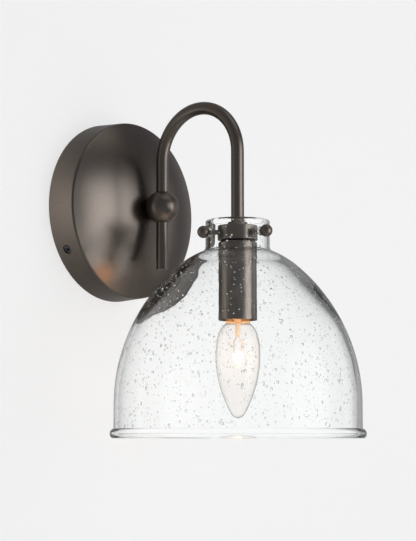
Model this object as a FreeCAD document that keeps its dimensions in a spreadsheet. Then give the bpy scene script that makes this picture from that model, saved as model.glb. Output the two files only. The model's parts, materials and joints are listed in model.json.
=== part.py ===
import FreeCAD, Part
import Sketcher

import math
import os

# A single-light wall sconce: a domed canopy on a pressed mounting plate, a ball hub, a gooseneck
# arm, and a bell of seeded glass held on its gallery by three ball-headed thumb screws.
# Millimetres and degrees. The wall is the plane Y = 0, the light stands out towards -Y, +Z is up,
# and the origin is the centre of the junction box's screw pattern.

SIZES = {
    # canopy
    "canopy_back_radius": 71.4,
    "canopy_front_radius": 70.1,
    "canopy_depth": 23.9,
    "canopy_dome_height": 18.1,
    "canopy_sheet": 1.2,
    "canopy_edge_round": 2.2,
    # mounting plate behind the canopy
    "bracket_sheet": 1.5,
    "bracket_disc_radius": 52.0,
    "bracket_bend_radius": 3.2,
    "bracket_tab_width": 18.0,
    "bracket_tab_depth": 16.0,
    "bracket_tab_gap": 1.0,
    "bracket_tab_count": 3,
    "cable_hole_radius": 16.0,
    "box_screw_spacing": 79.4,
    "slot_half_width": 2.3,
    "slot_length": 16.0,
    # screws that hold the canopy to the tabs
    "side_screw_depth": 10.5,
    "side_screw_radius": 2.0,
    "side_screw_head_radius": 3.6,
    "side_screw_head_height": 1.6,
    "side_screw_length": 9.0,
    "side_hole_gap": 0.25,
    "hex_key_across": 2.5,
    "hex_key_depth": 1.0,
    # ground screw
    "ground_screw_drop": 33.0,
    "ground_boss_radius": 6.5,
    "ground_boss_height": 3.0,
    "ground_screw_radius": 2.1,
    "ground_screw_length": 4.8,
    "ground_head_across": 6.4,
    "ground_head_height": 2.6,
    "ground_flange_radius": 4.6,
    "ground_flange_height": 0.9,
    "ground_slot_width": 1.0,
    # ball hub and what clamps it to the canopy
    "ball_radius": 13.0,
    "ball_seat_depth": 1.25,
    "wire_way_radius": 3.6,
    "nipple_radius": 4.85,
    "nipple_bore_radius": 3.4,
    "nipple_engagement": 6.5,
    "nipple_tail": 6.8,
    "hub_washer_radius": 9.5,
    "hub_washer_thickness": 1.2,
    "lug_radius": 8.0,
    "lug_thickness": 0.8,
    "lug_width": 5.0,
    "lug_reach": 12.0,
    "lug_barrel_radius": 1.8,
    "lug_barrel_length": 5.0,
    "hub_nut_across": 14.0,
    "hub_nut_height": 3.8,
    # arm
    "tube_radius": 4.9,
    "tube_wall": 1.2,
    "arm_bend_radius": 38.025,
    "arm_rise": 35.7,
    "arm_drop": 57.2,
    "arm_seat": 6.0,
    "arm_tail": 20.5,
    "tail_radius": 4.75,
    "tail_length": 49.2,
    "tail_seat": 8.0,
    "tail_edge_round": 0.6,
    "collar_radius": 7.6,
    "collar_height": 3.0,
    "collar_round": 1.3,
    # gallery and socket cup
    "gallery_radius": 15.0,
    "gallery_height": 10.9,
    "gallery_round": 0.5,
    "boss_radius": 12.8,
    "groove_height": 1.6,
    "cup_radius": 14.5,
    "cup_height": 58.1,
    "cup_wall": 1.0,
    "cup_roof": 1.5,
    "cup_round": 0.8,
    # bracket that carries the lamp holder
    "yoke_sheet": 1.0,
    "yoke_half_width": 6.8,
    "yoke_reach": 10.4,
    "yoke_front": 6.6,
    "yoke_foot": 3.4,
    "arm_nut_across": 14.0,
    "arm_nut_height": 3.6,
    "holder_radius": 11.6,
    "holder_drop": 30.6,
    "holder_height": 31.0,
    "holder_screw_radius": 1.5,
    "holder_screw_length": 5.0,
    "holder_screw_head_radius": 2.7,
    "holder_screw_head_height": 1.7,
    "holder_pit_depth": 3.0,
    "shell_wall": 0.4,
    "tab_thickness": 0.5,
    "tab_radius": 3.2,
    # bell glass
    "shade_drop": 180.2,
    "shade_height": 163.0,
    "neck_radius": 24.2,
    "glass_wall": 3.4,
    "dome_radius": 92.4,
    "dome_height": 119.3,
    "dome_base_height": 25.4,
    "crown_radius": 69.6,
    "shoulder_round": 4.0,
    "bead_radius": 4.0,
    "bead_reach": 2.9,
    "bead_height": 3.3,
    # thumb screws
    "knob_count": 3,
    "knob_ball_radius": 4.65,
    "knob_shank_radius": 1.95,
    "knob_tip_radius": 8.5,
    "knob_hole_radius": 3.5,
    "sleeve_overlap": 0.3,
    # bulb
    "base_radius": 5.95,
    "base_height": 12.3,
    "base_drop": 1.0,
    "base_wall": 0.3,
    "insulator_height": 2.7,
    "insulator_top_radius": 3.4,
    "contact_radius": 2.3,
    "contact_height": 1.0,
    "bulb_radius": 16.7,
    "bulb_length": 81.4,
    "bulb_wall": 0.8,
    "stem_radius": 2.1,
    "stem_flare": 4.6,
    "stem_height": 20.0,
    "support_radius": 0.35,
    "support_spread": 4.6,
    "support_height": 34.6,
    "filament_radius": 0.45,
    "filament_bow": 3.2,
    # leads inside the arm
    "lead_radius": 0.85,
    "lead_spacing": 2.3,
    "lead_turn_radius": 4.0,
    "lead_splay_radius": 6.0,
    "lead_splay_depth": 16.0,
    "lead_splay_reach": 24.0,
    "ground_wire_radius": 0.8,
    "ground_wire_turn": 3.0,
    "ground_wire_start_drop": 8.5,
    "ground_wire_bend_drop": 21.0,
    "ground_wire_bend_depth": 33.0,
    "ground_wire_run_drop": 24.0,
    "cap_mouth_radius": 5.4,
    "cap_end_radius": 3.4,
    "cap_length": 19.0,
    "cap_start": 19.0,
    "cap_bore_radius": 3.4,
    "cap_throat_radius": 1.1,
    "cap_bore_depth": 14.0,
    # clearances
    "fit_gap": 0.05,
    "thread_gap": 0.08,
    "ball_gap": 0.1,
    "overrun": 2.0,
}

QUARTER_TURN = 90
FULL_TURN = 360
UP = FreeCAD.Vector(0, 0, 1)
INTO_WALL = FreeCAD.Vector(0, 1, 0)
# how far a computed length may be off, as a share of itself
TOLERANCE_SHARE = 1e-6

doc = FreeCAD.newDocument("wall_sconce")
sheet = doc.addObject("Spreadsheet::Sheet", "sizes")
for row, (name, number) in enumerate(SIZES.items(), start=1):
    sheet.set("A%d" % row, str(number))
    sheet.setAlias("A%d" % row, name)
doc.recompute()

parts = []


class Size:
    """A number and the sheet expression that it comes from."""

    def __init__(self, number, text=None):
        self.number = float(number)
        self.text = text if text else repr(float(number))

    def join(self, other, mark, number):
        return Size(number, "(%s %s %s)" % (self.text, mark, other.text))

    def __add__(self, other):
        other = as_size(other)
        return self.join(other, "+", self.number + other.number)

    def __sub__(self, other):
        other = as_size(other)
        return self.join(other, "-", self.number - other.number)

    def __mul__(self, other):
        other = as_size(other)
        return self.join(other, "*", self.number * other.number)

    def __truediv__(self, other):
        other = as_size(other)
        return self.join(other, "/", self.number / other.number)

    def __radd__(self, other):
        return as_size(other) + self

    def __rsub__(self, other):
        return as_size(other) - self

    def __rmul__(self, other):
        return as_size(other) * self

    def __neg__(self):
        return Size(-self.number, "(-%s)" % self.text)


class Cells:
    """The sheet's cells by name, each as a Size."""

    def __getattr__(self, name):
        return Size(sheet.get(name), "sizes." + name)


cell = Cells()
ZERO = Size(0)


def as_size(thing):
    return thing if isinstance(thing, Size) else Size(thing)


def root(size):
    return Size(math.sqrt(size.number), "sqrt(%s)" % size.text)


def square(size):
    return size * size


def smaller(first, second):
    return Size(min(first.number, second.number), "min(%s; %s)" % (first.text, second.text))


def far_side(long_side, short_side):
    """The other short side of a right triangle."""
    return root(square(long_side) - square(short_side))


# Document objects

def bind(thing, **sizes):
    """Set properties and tie them to the sheet."""
    for name, size in sizes.items():
        size = as_size(size)
        setattr(thing, name, size.number)
        thing.setExpression(name, size.text)
    return thing


def place(thing, x=ZERO, y=ZERO, z=ZERO, axis=UP, angle=0):
    """Put a piece in the part's frame."""
    spot = [as_size(x), as_size(y), as_size(z)]
    base = FreeCAD.Vector(*[size.number for size in spot])
    thing.Placement = FreeCAD.Placement(base, FreeCAD.Rotation(axis, angle))
    for name, size in zip("xyz", spot):
        if size.number:
            thing.setExpression("Placement.Base." + name, size.text)
    return thing


def new_body(label):
    body = doc.addObject("PartDesign::Body", label)
    body.Label = label
    return body


def origin_feature(body, role):
    return [feature for feature in body.Origin.OriginFeatures if feature.Role == role][0]


def new_sketch(body, role, name):
    sketch = body.newObject("Sketcher::SketchObject", name)
    sketch.AttachmentSupport = [(origin_feature(body, role), "")]
    sketch.MapMode = "FlatFace"
    doc.recompute()
    return sketch


def raise_sketch(sketch, height):
    """Lift a sketch off its plane, along the plane's own upright."""
    sketch.AttachmentOffset = FreeCAD.Placement(UP * height.number, FreeCAD.Rotation())
    sketch.setExpression("AttachmentOffset.Base.z", height.text)
    doc.recompute()


# Sketch outlines

# the sketcher's own numbers for an edge's points and for its axes; its origin is the across axis's start
START, END, CENTRE = range(1, 4)
ACROSS_AXIS, UPRIGHT_AXIS = range(-1, -3, -1)


class Bend:
    """An arc of under a half circle; left means that its centre lies left of the way drawn."""

    def __init__(self, radius, left):
        self.radius = as_size(radius)
        self.left = left


def flat(x, y):
    return FreeCAD.Vector(x, y, 0)


def tie(sketch, kind, size, *refs):
    number = sketch.addConstraint(Sketcher.Constraint(kind, *refs, size.number))
    sketch.setExpression("Constraints[%d]" % number, size.text)


def pin_point(sketch, edge, end, x, y):
    """Hold one point of an edge at x, y."""
    if x.number == 0:
        sketch.addConstraint(Sketcher.Constraint("PointOnObject", edge, end, UPRIGHT_AXIS))
    else:
        tie(sketch, "DistanceX", x, ACROSS_AXIS, START, edge, end)
    if y.number == 0:
        sketch.addConstraint(Sketcher.Constraint("PointOnObject", edge, end, ACROSS_AXIS))
    else:
        tie(sketch, "DistanceY", y, ACROSS_AXIS, START, edge, end)


def arc_shape(first, last, bend):
    """The arc between two corners, and which of its ends is the first corner."""
    chord = last.sub(first)
    half = chord.Length / 2
    rise = math.sqrt(max(bend.radius.number ** 2 - half ** 2, 0))
    side = 1 if bend.left else -1
    normal = flat(-chord.y, chord.x).normalize()
    centre = first.add(chord.multiply(0.5)).add(normal.multiply(side * rise))
    angles = [math.atan2(point.y - centre.y, point.x - centre.x) for point in (first, last)]
    circle = Part.Circle(centre, UP, bend.radius.number)
    if bend.left:
        return Part.ArcOfCircle(circle, angles[0], angles[1]), START, END
    return Part.ArcOfCircle(circle, angles[1], angles[0]), END, START


def trace(sketch, *corners, closed=True):
    """Draw an outline; each corner is x, y and, if an arc leaves it, a Bend."""
    corners = [[as_size(item) if not isinstance(item, Bend) else item for item in corner]
               for corner in corners]
    points = [flat(corner[0].number, corner[1].number) for corner in corners]
    count = len(corners) if closed else len(corners) - 1
    edges = []
    for index in range(count):
        first, last = points[index], points[(index + 1) % len(points)]
        bend = corners[index][-1]
        if isinstance(bend, Bend):
            shape, head, tail = arc_shape(first, last, bend)
            edge = sketch.addGeometry(shape, False)
            tie(sketch, "Radius", bend.radius, edge)
        else:
            head, tail = START, END
            edge = sketch.addGeometry(Part.LineSegment(first, last), False)
        edges.append((edge, head, tail))
    for index, (edge, head, tail) in enumerate(edges):
        pin_point(sketch, edge, head, corners[index][0], corners[index][1])
        if index + 1 < len(edges) or closed:
            following = edges[(index + 1) % len(edges)]
            refs = (edge, tail, following[0], following[1])
            sketch.addConstraint(Sketcher.Constraint("Coincident", *refs))
    if not closed:
        edge, head, tail = edges[-1]
        pin_point(sketch, edge, tail, corners[-1][0], corners[-1][1])
    return sketch


def ring(sketch, x, y, radius):
    x, y, radius = as_size(x), as_size(y), as_size(radius)
    shape = Part.Circle(flat(x.number, y.number), UP, radius.number)
    edge = sketch.addGeometry(shape, False)
    tie(sketch, "Radius", radius, edge)
    pin_point(sketch, edge, CENTRE, x, y)
    return sketch


def slot(sketch, x, y, half_length, half_width):
    """A slot along the sketch's first axis, with round ends made of quarter arcs."""
    run = half_length - half_width
    round_end = Bend(half_width, True)
    return trace(sketch,
                 (x - run, y - half_width), (x + run, y - half_width, round_end),
                 (x + half_length, y, round_end), (x + run, y + half_width),
                 (x - run, y + half_width, round_end), (x - half_length, y, round_end))


def hexagon(sketch, x, y, across):
    """A hexagon with two sides upright."""
    half = across / 2
    side = across / math.sqrt(3)
    return trace(sketch,
                 (x + half, y - side / 2), (x + half, y + side / 2), (x, y + side),
                 (x - half, y + side / 2), (x - half, y - side / 2), (x, y - side))


# Part design features

def revolve(body, sketch, name, axis="V_Axis", kind="Revolution"):
    before = body.Shape.Volume if kind == "Groove" else 0
    feature = body.newObject("PartDesign::" + kind, name)
    feature.Profile = sketch
    feature.ReferenceAxis = (sketch, [axis])
    feature.Angle = FULL_TURN
    doc.recompute()
    if kind == "Groove" and not body.Shape.Volume < before:
        raise RuntimeError(name + " removes nothing")
    return feature


def pad(body, sketch, name, length, symmetric=False, reverse=False):
    feature = body.newObject("PartDesign::Pad", name)
    feature.Profile = sketch
    bind(feature, Length=length)
    if symmetric:
        feature.SideType = "Symmetric"
    feature.Reversed = reverse
    doc.recompute()
    return feature


def pocket(body, sketch, name, length, reverse=False, symmetric=False):
    before = body.Shape.Volume
    feature = body.newObject("PartDesign::Pocket", name)
    feature.Profile = sketch
    bind(feature, Length=length)
    if symmetric:
        feature.SideType = "Symmetric"
    feature.Reversed = reverse
    doc.recompute()
    if not body.Shape.Volume < before:
        raise RuntimeError(name + " removes nothing")
    return feature


def spread(body, features, name, axis, count):
    """Repeat features evenly round an axis of the body."""
    feature = body.newObject("PartDesign::PolarPattern", name)
    feature.Originals = features
    feature.Axis = (origin_feature(body, axis), [""])
    feature.Angle = FULL_TURN
    feature.Occurrences = int(count.number)
    feature.setExpression("Occurrences", count.text)
    body.Tip = feature
    doc.recompute()
    return feature


def round_edge(body, name, edge_radius, rounding, axis=INTO_WALL):
    """Round the closed edge that runs round the axis at this radius, the lowest if there are two."""
    base = body.Tip
    closed_edges = {}
    for number, edge in enumerate(base.Shape.Edges, start=1):
        spot = edge.Vertexes[0].Point
        height = spot.dot(axis)
        off_axis = (spot - axis * height).Length
        if edge.isClosed() and abs(off_axis / edge_radius.number - 1) < TOLERANCE_SHARE:
            closed_edges[height] = "Edge%d" % number
    found = [closed_edges[min(closed_edges)]]
    feature = body.newObject("PartDesign::Fillet", name)
    feature.Base = (base, found)
    bind(feature, Radius=rounding)
    doc.recompute()
    return feature


def finish(piece):
    parts.append(piece)
    return piece


# Levels and distances shared by several pieces

canopy_apex = cell.canopy_depth + cell.canopy_dome_height
canopy_inner_apex = canopy_apex - cell.canopy_sheet
hub_out = canopy_apex + cell.ball_radius - cell.ball_seat_depth
shade_out = hub_out + cell.arm_bend_radius * 2
dome_curve = (square(cell.canopy_front_radius) + square(cell.canopy_dome_height)) \
    / (cell.canopy_dome_height * 2)

# the washer's rim meets the hollow side of the dome
hub_washer_front = far_side(dome_curve - cell.canopy_sheet, cell.hub_washer_radius) \
    - (dome_curve - canopy_apex) - cell.fit_gap
hub_washer_back = hub_washer_front - cell.hub_washer_thickness

wall_slope = (cell.canopy_back_radius - cell.canopy_front_radius) / cell.canopy_depth
screw_wall_radius = cell.canopy_back_radius - wall_slope * cell.side_screw_depth
tab_wall_radius = smaller(cell.canopy_back_radius,
                          cell.canopy_back_radius - wall_slope * cell.bracket_tab_depth)
tab_face = tab_wall_radius - cell.canopy_sheet - cell.bracket_tab_gap

gallery_top = cell.arm_rise - cell.arm_drop
gallery_bottom = gallery_top - cell.gallery_height
cup_top = gallery_bottom - cell.groove_height
cup_bottom = cup_top - cell.cup_height
cup_ceiling = cup_top - cell.cup_roof
knob_level = gallery_top - cell.gallery_height / 2

holder_top = gallery_top - cell.holder_drop
holder_bottom = holder_top - cell.holder_height
base_bottom = holder_bottom - cell.base_drop
base_top = base_bottom + cell.base_height
contact_top = base_top + cell.insulator_height + cell.contact_height
shell_radius = cell.base_radius + cell.thread_gap
holder_bore = shell_radius + cell.shell_wall + cell.fit_gap
bulb_top = base_bottom

tube_bore = cell.tube_radius - cell.tube_wall
tube_hole = cell.tube_radius + cell.fit_gap

rim_level = -cell.shade_drop
neck_top = rim_level + cell.shade_height
dome_level = rim_level + cell.dome_base_height
crown_centre = dome_level + cell.dome_height - cell.crown_radius
side_curve = (square(cell.dome_radius) + square(cell.dome_height)
              - cell.dome_height * cell.crown_radius * 2) \
    / ((cell.dome_radius - cell.crown_radius) * 2)
neck_bore = cell.neck_radius - cell.glass_wall
knob_out = cell.neck_radius + far_side(cell.knob_ball_radius, cell.knob_hole_radius) + cell.ball_gap


# Canopy and mounting plate

def make_canopy():
    """Spun sheet canopy: a slightly tapered wall and a domed face, open at the back."""
    body = new_body("canopy")
    sheet_gap = cell.canopy_sheet
    outer_curve = dome_curve
    inner_curve = dome_curve - sheet_gap
    centre = outer_curve - canopy_apex
    middle = cell.nipple_radius + cell.fit_gap
    inner_front = cell.canopy_front_radius - sheet_gap
    sketch = new_sketch(body, "XY_Plane", "canopy_section")
    trace(sketch,
          (cell.canopy_back_radius, 0),
          (cell.canopy_front_radius, -cell.canopy_depth, Bend(outer_curve, False)),
          (middle, centre - far_side(outer_curve, middle)),
          (middle, centre - far_side(inner_curve, middle), Bend(inner_curve, True)),
          (inner_front, centre - far_side(inner_curve, inner_front)),
          (cell.canopy_back_radius - sheet_gap, 0))
    revolve(body, sketch, "canopy_spinning")
    round_edge(body, "canopy_outer_edge", cell.canopy_front_radius, cell.canopy_edge_round)
    round_edge(body, "canopy_inner_edge", inner_front, cell.canopy_edge_round - sheet_gap)
    outline = new_sketch(body, "XY_Plane", "canopy_side_hole")
    ring(outline, 0, -cell.side_screw_depth, cell.side_screw_head_radius + cell.side_hole_gap)
    cut = pocket(body, outline, "canopy_side_cut", screw_wall_radius + cell.overrun, reverse=True)
    spread(body, [cut], "canopy_side_holes", "Y_Axis", cell.bracket_tab_count)
    return finish(body)


def make_mounting_plate():
    """Pressed plate on the junction box, with three tabs bent forward for the side screws."""
    body = new_body("mounting_plate")
    sheet_gap = cell.bracket_sheet
    disc = new_sketch(body, "XZ_Plane", "plate_disc")
    ring(disc, 0, 0, cell.bracket_disc_radius)
    pad(body, disc, "plate_blank", sheet_gap)
    tab = new_sketch(body, "YZ_Plane", "tab_section")
    start = cell.bracket_disc_radius - cell.bracket_bend_radius * 2
    outer = cell.bracket_bend_radius
    inner = cell.bracket_bend_radius - sheet_gap
    trace(tab,
          (0, start), (0, tab_face - outer, Bend(outer, True)),
          (-outer, tab_face), (-cell.bracket_tab_depth, tab_face),
          (-cell.bracket_tab_depth, tab_face - sheet_gap),
          (-outer, tab_face - sheet_gap, Bend(inner, False)),
          (-sheet_gap, tab_face - outer), (-sheet_gap, start))
    tab_pad = pad(body, tab, "tab_pressing", cell.bracket_tab_width, symmetric=True)
    hole = new_sketch(body, "XY_Plane", "tab_hole")
    ring(hole, 0, -cell.side_screw_depth, cell.side_screw_radius + cell.fit_gap)
    tab_hole = pocket(body, hole, "tab_tapping", tab_face + cell.overrun, reverse=True)
    spread(body, [tab_pad, tab_hole], "tabs", "Y_Axis", cell.bracket_tab_count)
    boss = new_sketch(body, "XZ_Plane", "ground_boss_outline")
    ring(boss, 0, -cell.ground_screw_drop, cell.ground_boss_radius)
    pad(body, boss, "ground_boss", cell.ground_boss_height + sheet_gap)
    dimple = new_sketch(body, "XZ_Plane", "ground_dimple_outline")
    ring(dimple, 0, -cell.ground_screw_drop, cell.ground_boss_radius - sheet_gap)
    pocket(body, dimple, "ground_dimple", cell.ground_boss_height, reverse=True)
    holes = new_sketch(body, "XZ_Plane", "plate_holes")
    ring(holes, 0, 0, cell.cable_hole_radius)
    ring(holes, 0, -cell.ground_screw_drop, cell.ground_screw_radius + cell.fit_gap)
    for side in (-1, 1):
        slot(holes, cell.box_screw_spacing * side / 2, 0, cell.slot_length / 2, cell.slot_half_width)
    pocket(body, holes, "plate_piercing", cell.ground_boss_height + cell.overrun, reverse=True)
    return finish(body)


def make_side_screw(number):
    """Socket screw through the canopy wall into a tab."""
    body = new_body("side_screw_%d" % number)
    seat = tab_face
    top = seat + cell.side_screw_head_height
    sketch = new_sketch(body, "XZ_Plane", "side_screw_section_%d" % number)
    trace(sketch,
          (0, top), (cell.side_screw_head_radius, top), (cell.side_screw_head_radius, seat),
          (cell.side_screw_radius, seat),
          (cell.side_screw_radius, seat - cell.side_screw_length),
          (0, seat - cell.side_screw_length))
    revolve(body, sketch, "side_screw_turning_%d" % number)
    key = new_sketch(body, "XY_Plane", "side_screw_key_%d" % number)
    hexagon(key, 0, 0, cell.hex_key_across)
    raise_sketch(key, top)
    pocket(body, key, "side_screw_socket_%d" % number, cell.hex_key_depth)
    angle = FULL_TURN / SIZES["bracket_tab_count"] * (number - 1)
    place(body, y=-cell.side_screw_depth, axis=INTO_WALL, angle=angle)
    return finish(body)


def make_ground_screw():
    """Hex washer-head screw with a slot, on the raised boss of the plate."""
    body = new_body("ground_screw")
    seat = cell.bracket_sheet + cell.ground_boss_height + cell.ground_wire_radius * 2 + cell.fit_gap * 2
    flange_top = seat + cell.ground_flange_height
    head_top = flange_top + cell.ground_head_height
    shank_end = seat - cell.ground_screw_length
    sketch = new_sketch(body, "XY_Plane", "ground_screw_section")
    trace(sketch,
          (0, -flange_top), (cell.ground_flange_radius, -flange_top),
          (cell.ground_flange_radius, -seat), (cell.ground_screw_radius, -seat),
          (cell.ground_screw_radius, -shank_end), (0, -shank_end))
    revolve(body, sketch, "ground_screw_turning")
    head = new_sketch(body, "XZ_Plane", "ground_screw_head")
    hexagon(head, 0, 0, cell.ground_head_across)
    raise_sketch(head, flange_top)
    pad(body, head, "ground_screw_hex", cell.ground_head_height)
    cut = new_sketch(body, "YZ_Plane", "ground_screw_slot")
    floor = head_top - cell.ground_head_height / 2
    half = cell.ground_slot_width / 2
    trace(cut,
          (-head_top - cell.overrun, -half), (-floor, -half), (-floor, half),
          (-head_top - cell.overrun, half))
    pocket(body, cut, "ground_screw_slotting", cell.ground_flange_radius * 3, symmetric=True)
    place(body, z=-cell.ground_screw_drop)
    return finish(body)


# Ball hub, its fixings and the arm

def make_hub_ball():
    """Ball with a flat seat on the canopy, a tapped back and sockets for arm and tail."""
    body = new_body("hub_ball")
    seat = cell.ball_radius - cell.ball_seat_depth
    seat_radius = far_side(cell.ball_radius, seat)
    tapped = cell.nipple_radius + cell.fit_gap
    section = new_sketch(body, "XY_Plane", "hub_section")
    curve = Bend(cell.ball_radius, True)
    trace(section,
          (0, -cell.ball_radius, curve), (cell.ball_radius, 0, curve), (seat_radius, seat), (0, seat))
    revolve(body, section, "hub_turning")
    back = new_sketch(body, "XY_Plane", "hub_back_bore")
    trace(back,
          (0, 0), (cell.wire_way_radius, 0),
          (cell.wire_way_radius, seat - cell.nipple_engagement),
          (tapped, seat - cell.nipple_engagement), (tapped, seat + cell.overrun),
          (0, seat + cell.overrun))
    revolve(body, back, "hub_back_tapping", kind="Groove")
    upright = new_sketch(body, "XZ_Plane", "hub_upright_bores")
    tail_hole = cell.tail_radius + cell.fit_gap
    far = cell.ball_radius + cell.overrun
    trace(upright,
          (0, -cell.wire_way_radius), (cell.wire_way_radius, -cell.wire_way_radius),
          (cell.wire_way_radius, cell.arm_seat), (tube_hole, cell.arm_seat), (tube_hole, far),
          (0, far))
    trace(upright, (0, -far), (tail_hole, -far), (tail_hole, -cell.tail_seat), (0, -cell.tail_seat))
    revolve(body, upright, "hub_upright_boring", kind="Groove")
    place(body, y=-hub_out)
    return finish(body)


def make_tube_piece(label, outer, inner, front, back):
    """A plain tube round the canopy's axis, from one distance off the wall to another."""
    body = new_body(label)
    sketch = new_sketch(body, "XY_Plane", label + "_section")
    trace(sketch, (inner, -front), (outer, -front), (outer, -back), (inner, -back))
    revolve(body, sketch, label + "_turning")
    return body


def make_hub_nipple():
    front = hub_out - cell.ball_radius + cell.ball_seat_depth + cell.nipple_engagement
    back = canopy_inner_apex - cell.nipple_tail
    return finish(make_tube_piece("hub_nipple", cell.nipple_radius, cell.nipple_bore_radius,
                                  front, back))


def make_hub_washer():
    return finish(make_tube_piece("hub_washer", cell.hub_washer_radius,
                                  cell.nipple_radius + cell.fit_gap, hub_washer_front,
                                  hub_washer_back))


# how far the barrel's axis lies behind the lug's back face
lug_barrel_in = cell.lug_barrel_radius - cell.lug_thickness / 2


def make_ground_lug():
    """Ring terminal under the hub nut, with a tongue and a crimped barrel for the ground wire."""
    body = new_body("ground_lug")
    front = hub_washer_back
    back = front - cell.lug_thickness
    outline = new_sketch(body, "XZ_Plane", "lug_outline")
    ring(outline, 0, 0, cell.lug_radius)
    pad(body, outline, "lug_ring", cell.lug_thickness)
    tongue = new_sketch(body, "XZ_Plane", "lug_tongue_outline")
    half = cell.lug_width / 2
    trace(tongue, (-half, 0), (-half, -cell.lug_reach), (half, -cell.lug_reach), (half, 0))
    pad(body, tongue, "lug_tongue", cell.lug_thickness)
    barrel = new_sketch(body, "XY_Plane", "lug_barrel_outline")
    ring(barrel, 0, lug_barrel_in, cell.lug_barrel_radius)
    raise_sketch(barrel, -cell.lug_reach)
    pad(body, barrel, "lug_barrel", cell.lug_barrel_length, reverse=True)
    bore = new_sketch(body, "XY_Plane", "lug_barrel_bore_outline")
    ring(bore, 0, lug_barrel_in, cell.ground_wire_radius + cell.fit_gap)
    raise_sketch(bore, -cell.lug_reach)
    pocket(body, bore, "lug_barrel_bore", cell.lug_barrel_length + cell.overrun)
    hole = new_sketch(body, "XZ_Plane", "lug_hole_outline")
    ring(hole, 0, 0, cell.nipple_radius + cell.fit_gap)
    pocket(body, hole, "lug_hole", cell.overrun + cell.lug_thickness, reverse=True)
    place(body, y=-back)
    return finish(body)


def make_hub_nut():
    body = new_body("hub_nut")
    front = hub_washer_back - cell.lug_thickness
    outline = new_sketch(body, "XZ_Plane", "hub_nut_outline")
    hexagon(outline, 0, 0, cell.hub_nut_across)
    ring(outline, 0, 0, cell.nipple_radius + cell.fit_gap)
    pad(body, outline, "hub_nut_blank", cell.hub_nut_height)
    place(body, y=-(front - cell.hub_nut_height))
    return finish(body)


def make_arm_tube():
    """Gooseneck: up from the hub, over in a half circle and down to the lamp."""
    body = new_body("arm_tube")
    rise = cell.arm_rise - cell.arm_seat
    turn = cell.arm_bend_radius
    end = rise - cell.arm_drop - cell.arm_tail
    route = new_sketch(body, "YZ_Plane", "arm_route")
    over = Bend(turn, True)
    trace(route, (0, 0), (0, rise, over), (-turn, rise + turn, over), (-turn * 2, rise),
          (-turn * 2, end), closed=False)
    section = new_sketch(body, "XY_Plane", "arm_section")
    ring(section, 0, 0, cell.tube_radius)
    ring(section, 0, 0, tube_bore)
    pipe = body.newObject("PartDesign::AdditivePipe", "arm_bending")
    pipe.Profile = section
    pipe.Spine = (route, [])
    doc.recompute()
    place(body, y=-hub_out, z=cell.arm_seat)
    return finish(body)


def make_tail_rod():
    """Straight rod under the ball."""
    body = new_body("tail_rod")
    edge = cell.tail_edge_round
    sketch = new_sketch(body, "XZ_Plane", "tail_section")
    trace(sketch,
          (0, -cell.tail_seat), (0, -cell.tail_length),
          (cell.tail_radius - edge, -cell.tail_length, Bend(edge, True)),
          (cell.tail_radius, -cell.tail_length + edge), (cell.tail_radius, -cell.tail_seat))
    revolve(body, sketch, "tail_turning")
    place(body, y=-hub_out)
    return finish(body)


# Pieces on the shade's axis

def turned(label, *corners):
    """A piece turned round the shade's axis from its section: radius, height and bends."""
    body = new_body(label)
    sketch = new_sketch(body, "XZ_Plane", label + "_section")
    trace(sketch, *corners)
    revolve(body, sketch, label + "_turning")
    place(body, y=-shade_out)
    return body


def make_tube_collar():
    top = gallery_top + cell.collar_height
    edge = cell.collar_round
    return finish(turned("tube_collar",
                         (tube_hole, gallery_top), (cell.collar_radius, gallery_top),
                         (cell.collar_radius, top - edge, Bend(edge, True)),
                         (cell.collar_radius - edge, top), (tube_hole, top)))


def radial_hole(body, name, height, radius, reach):
    """Holes for the thumb screws, the first towards the room."""
    sketch = new_sketch(body, "XZ_Plane", name + "_outline")
    ring(sketch, 0, height, radius)
    cut = pocket(body, sketch, name, reach, reverse=True)
    spread(body, [cut], name + "_round", "Z_Axis", cell.knob_count)


def make_gallery():
    edge = cell.gallery_round
    body = turned("shade_gallery",
                  (tube_hole, gallery_bottom), (cell.gallery_radius - edge, gallery_bottom,
                                                Bend(edge, True)),
                  (cell.gallery_radius, gallery_bottom + edge),
                  (cell.gallery_radius, gallery_top - edge, Bend(edge, True)),
                  (cell.gallery_radius - edge, gallery_top), (tube_hole, gallery_top))
    radial_hole(body, "gallery_tapping", knob_level, cell.knob_shank_radius + cell.fit_gap,
                cell.gallery_radius + cell.overrun)
    return finish(body)


def make_socket_cup():
    """Drawn cup over the lamp holder, with a stepped top that leaves a groove under the gallery."""
    inner = cell.cup_radius - cell.cup_wall
    edge = cell.cup_round
    lip = cell.cup_wall / 2
    return finish(turned("socket_cup",
                         (tube_hole, gallery_bottom), (tube_hole, cup_ceiling), (inner, cup_ceiling),
                         (inner, cup_bottom + lip, Bend(lip, True)),
                         (inner + lip, cup_bottom, Bend(lip, True)),
                         (cell.cup_radius, cup_bottom + lip),
                         (cell.cup_radius, cup_top - edge, Bend(edge, True)),
                         (cell.cup_radius - edge, cup_top), (cell.boss_radius, cup_top),
                         (cell.boss_radius, gallery_bottom)))


# how far the holder's screw stands behind the shade's axis
holder_screw_in = (cell.yoke_foot + cell.yoke_reach - cell.yoke_sheet) / 2


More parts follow.
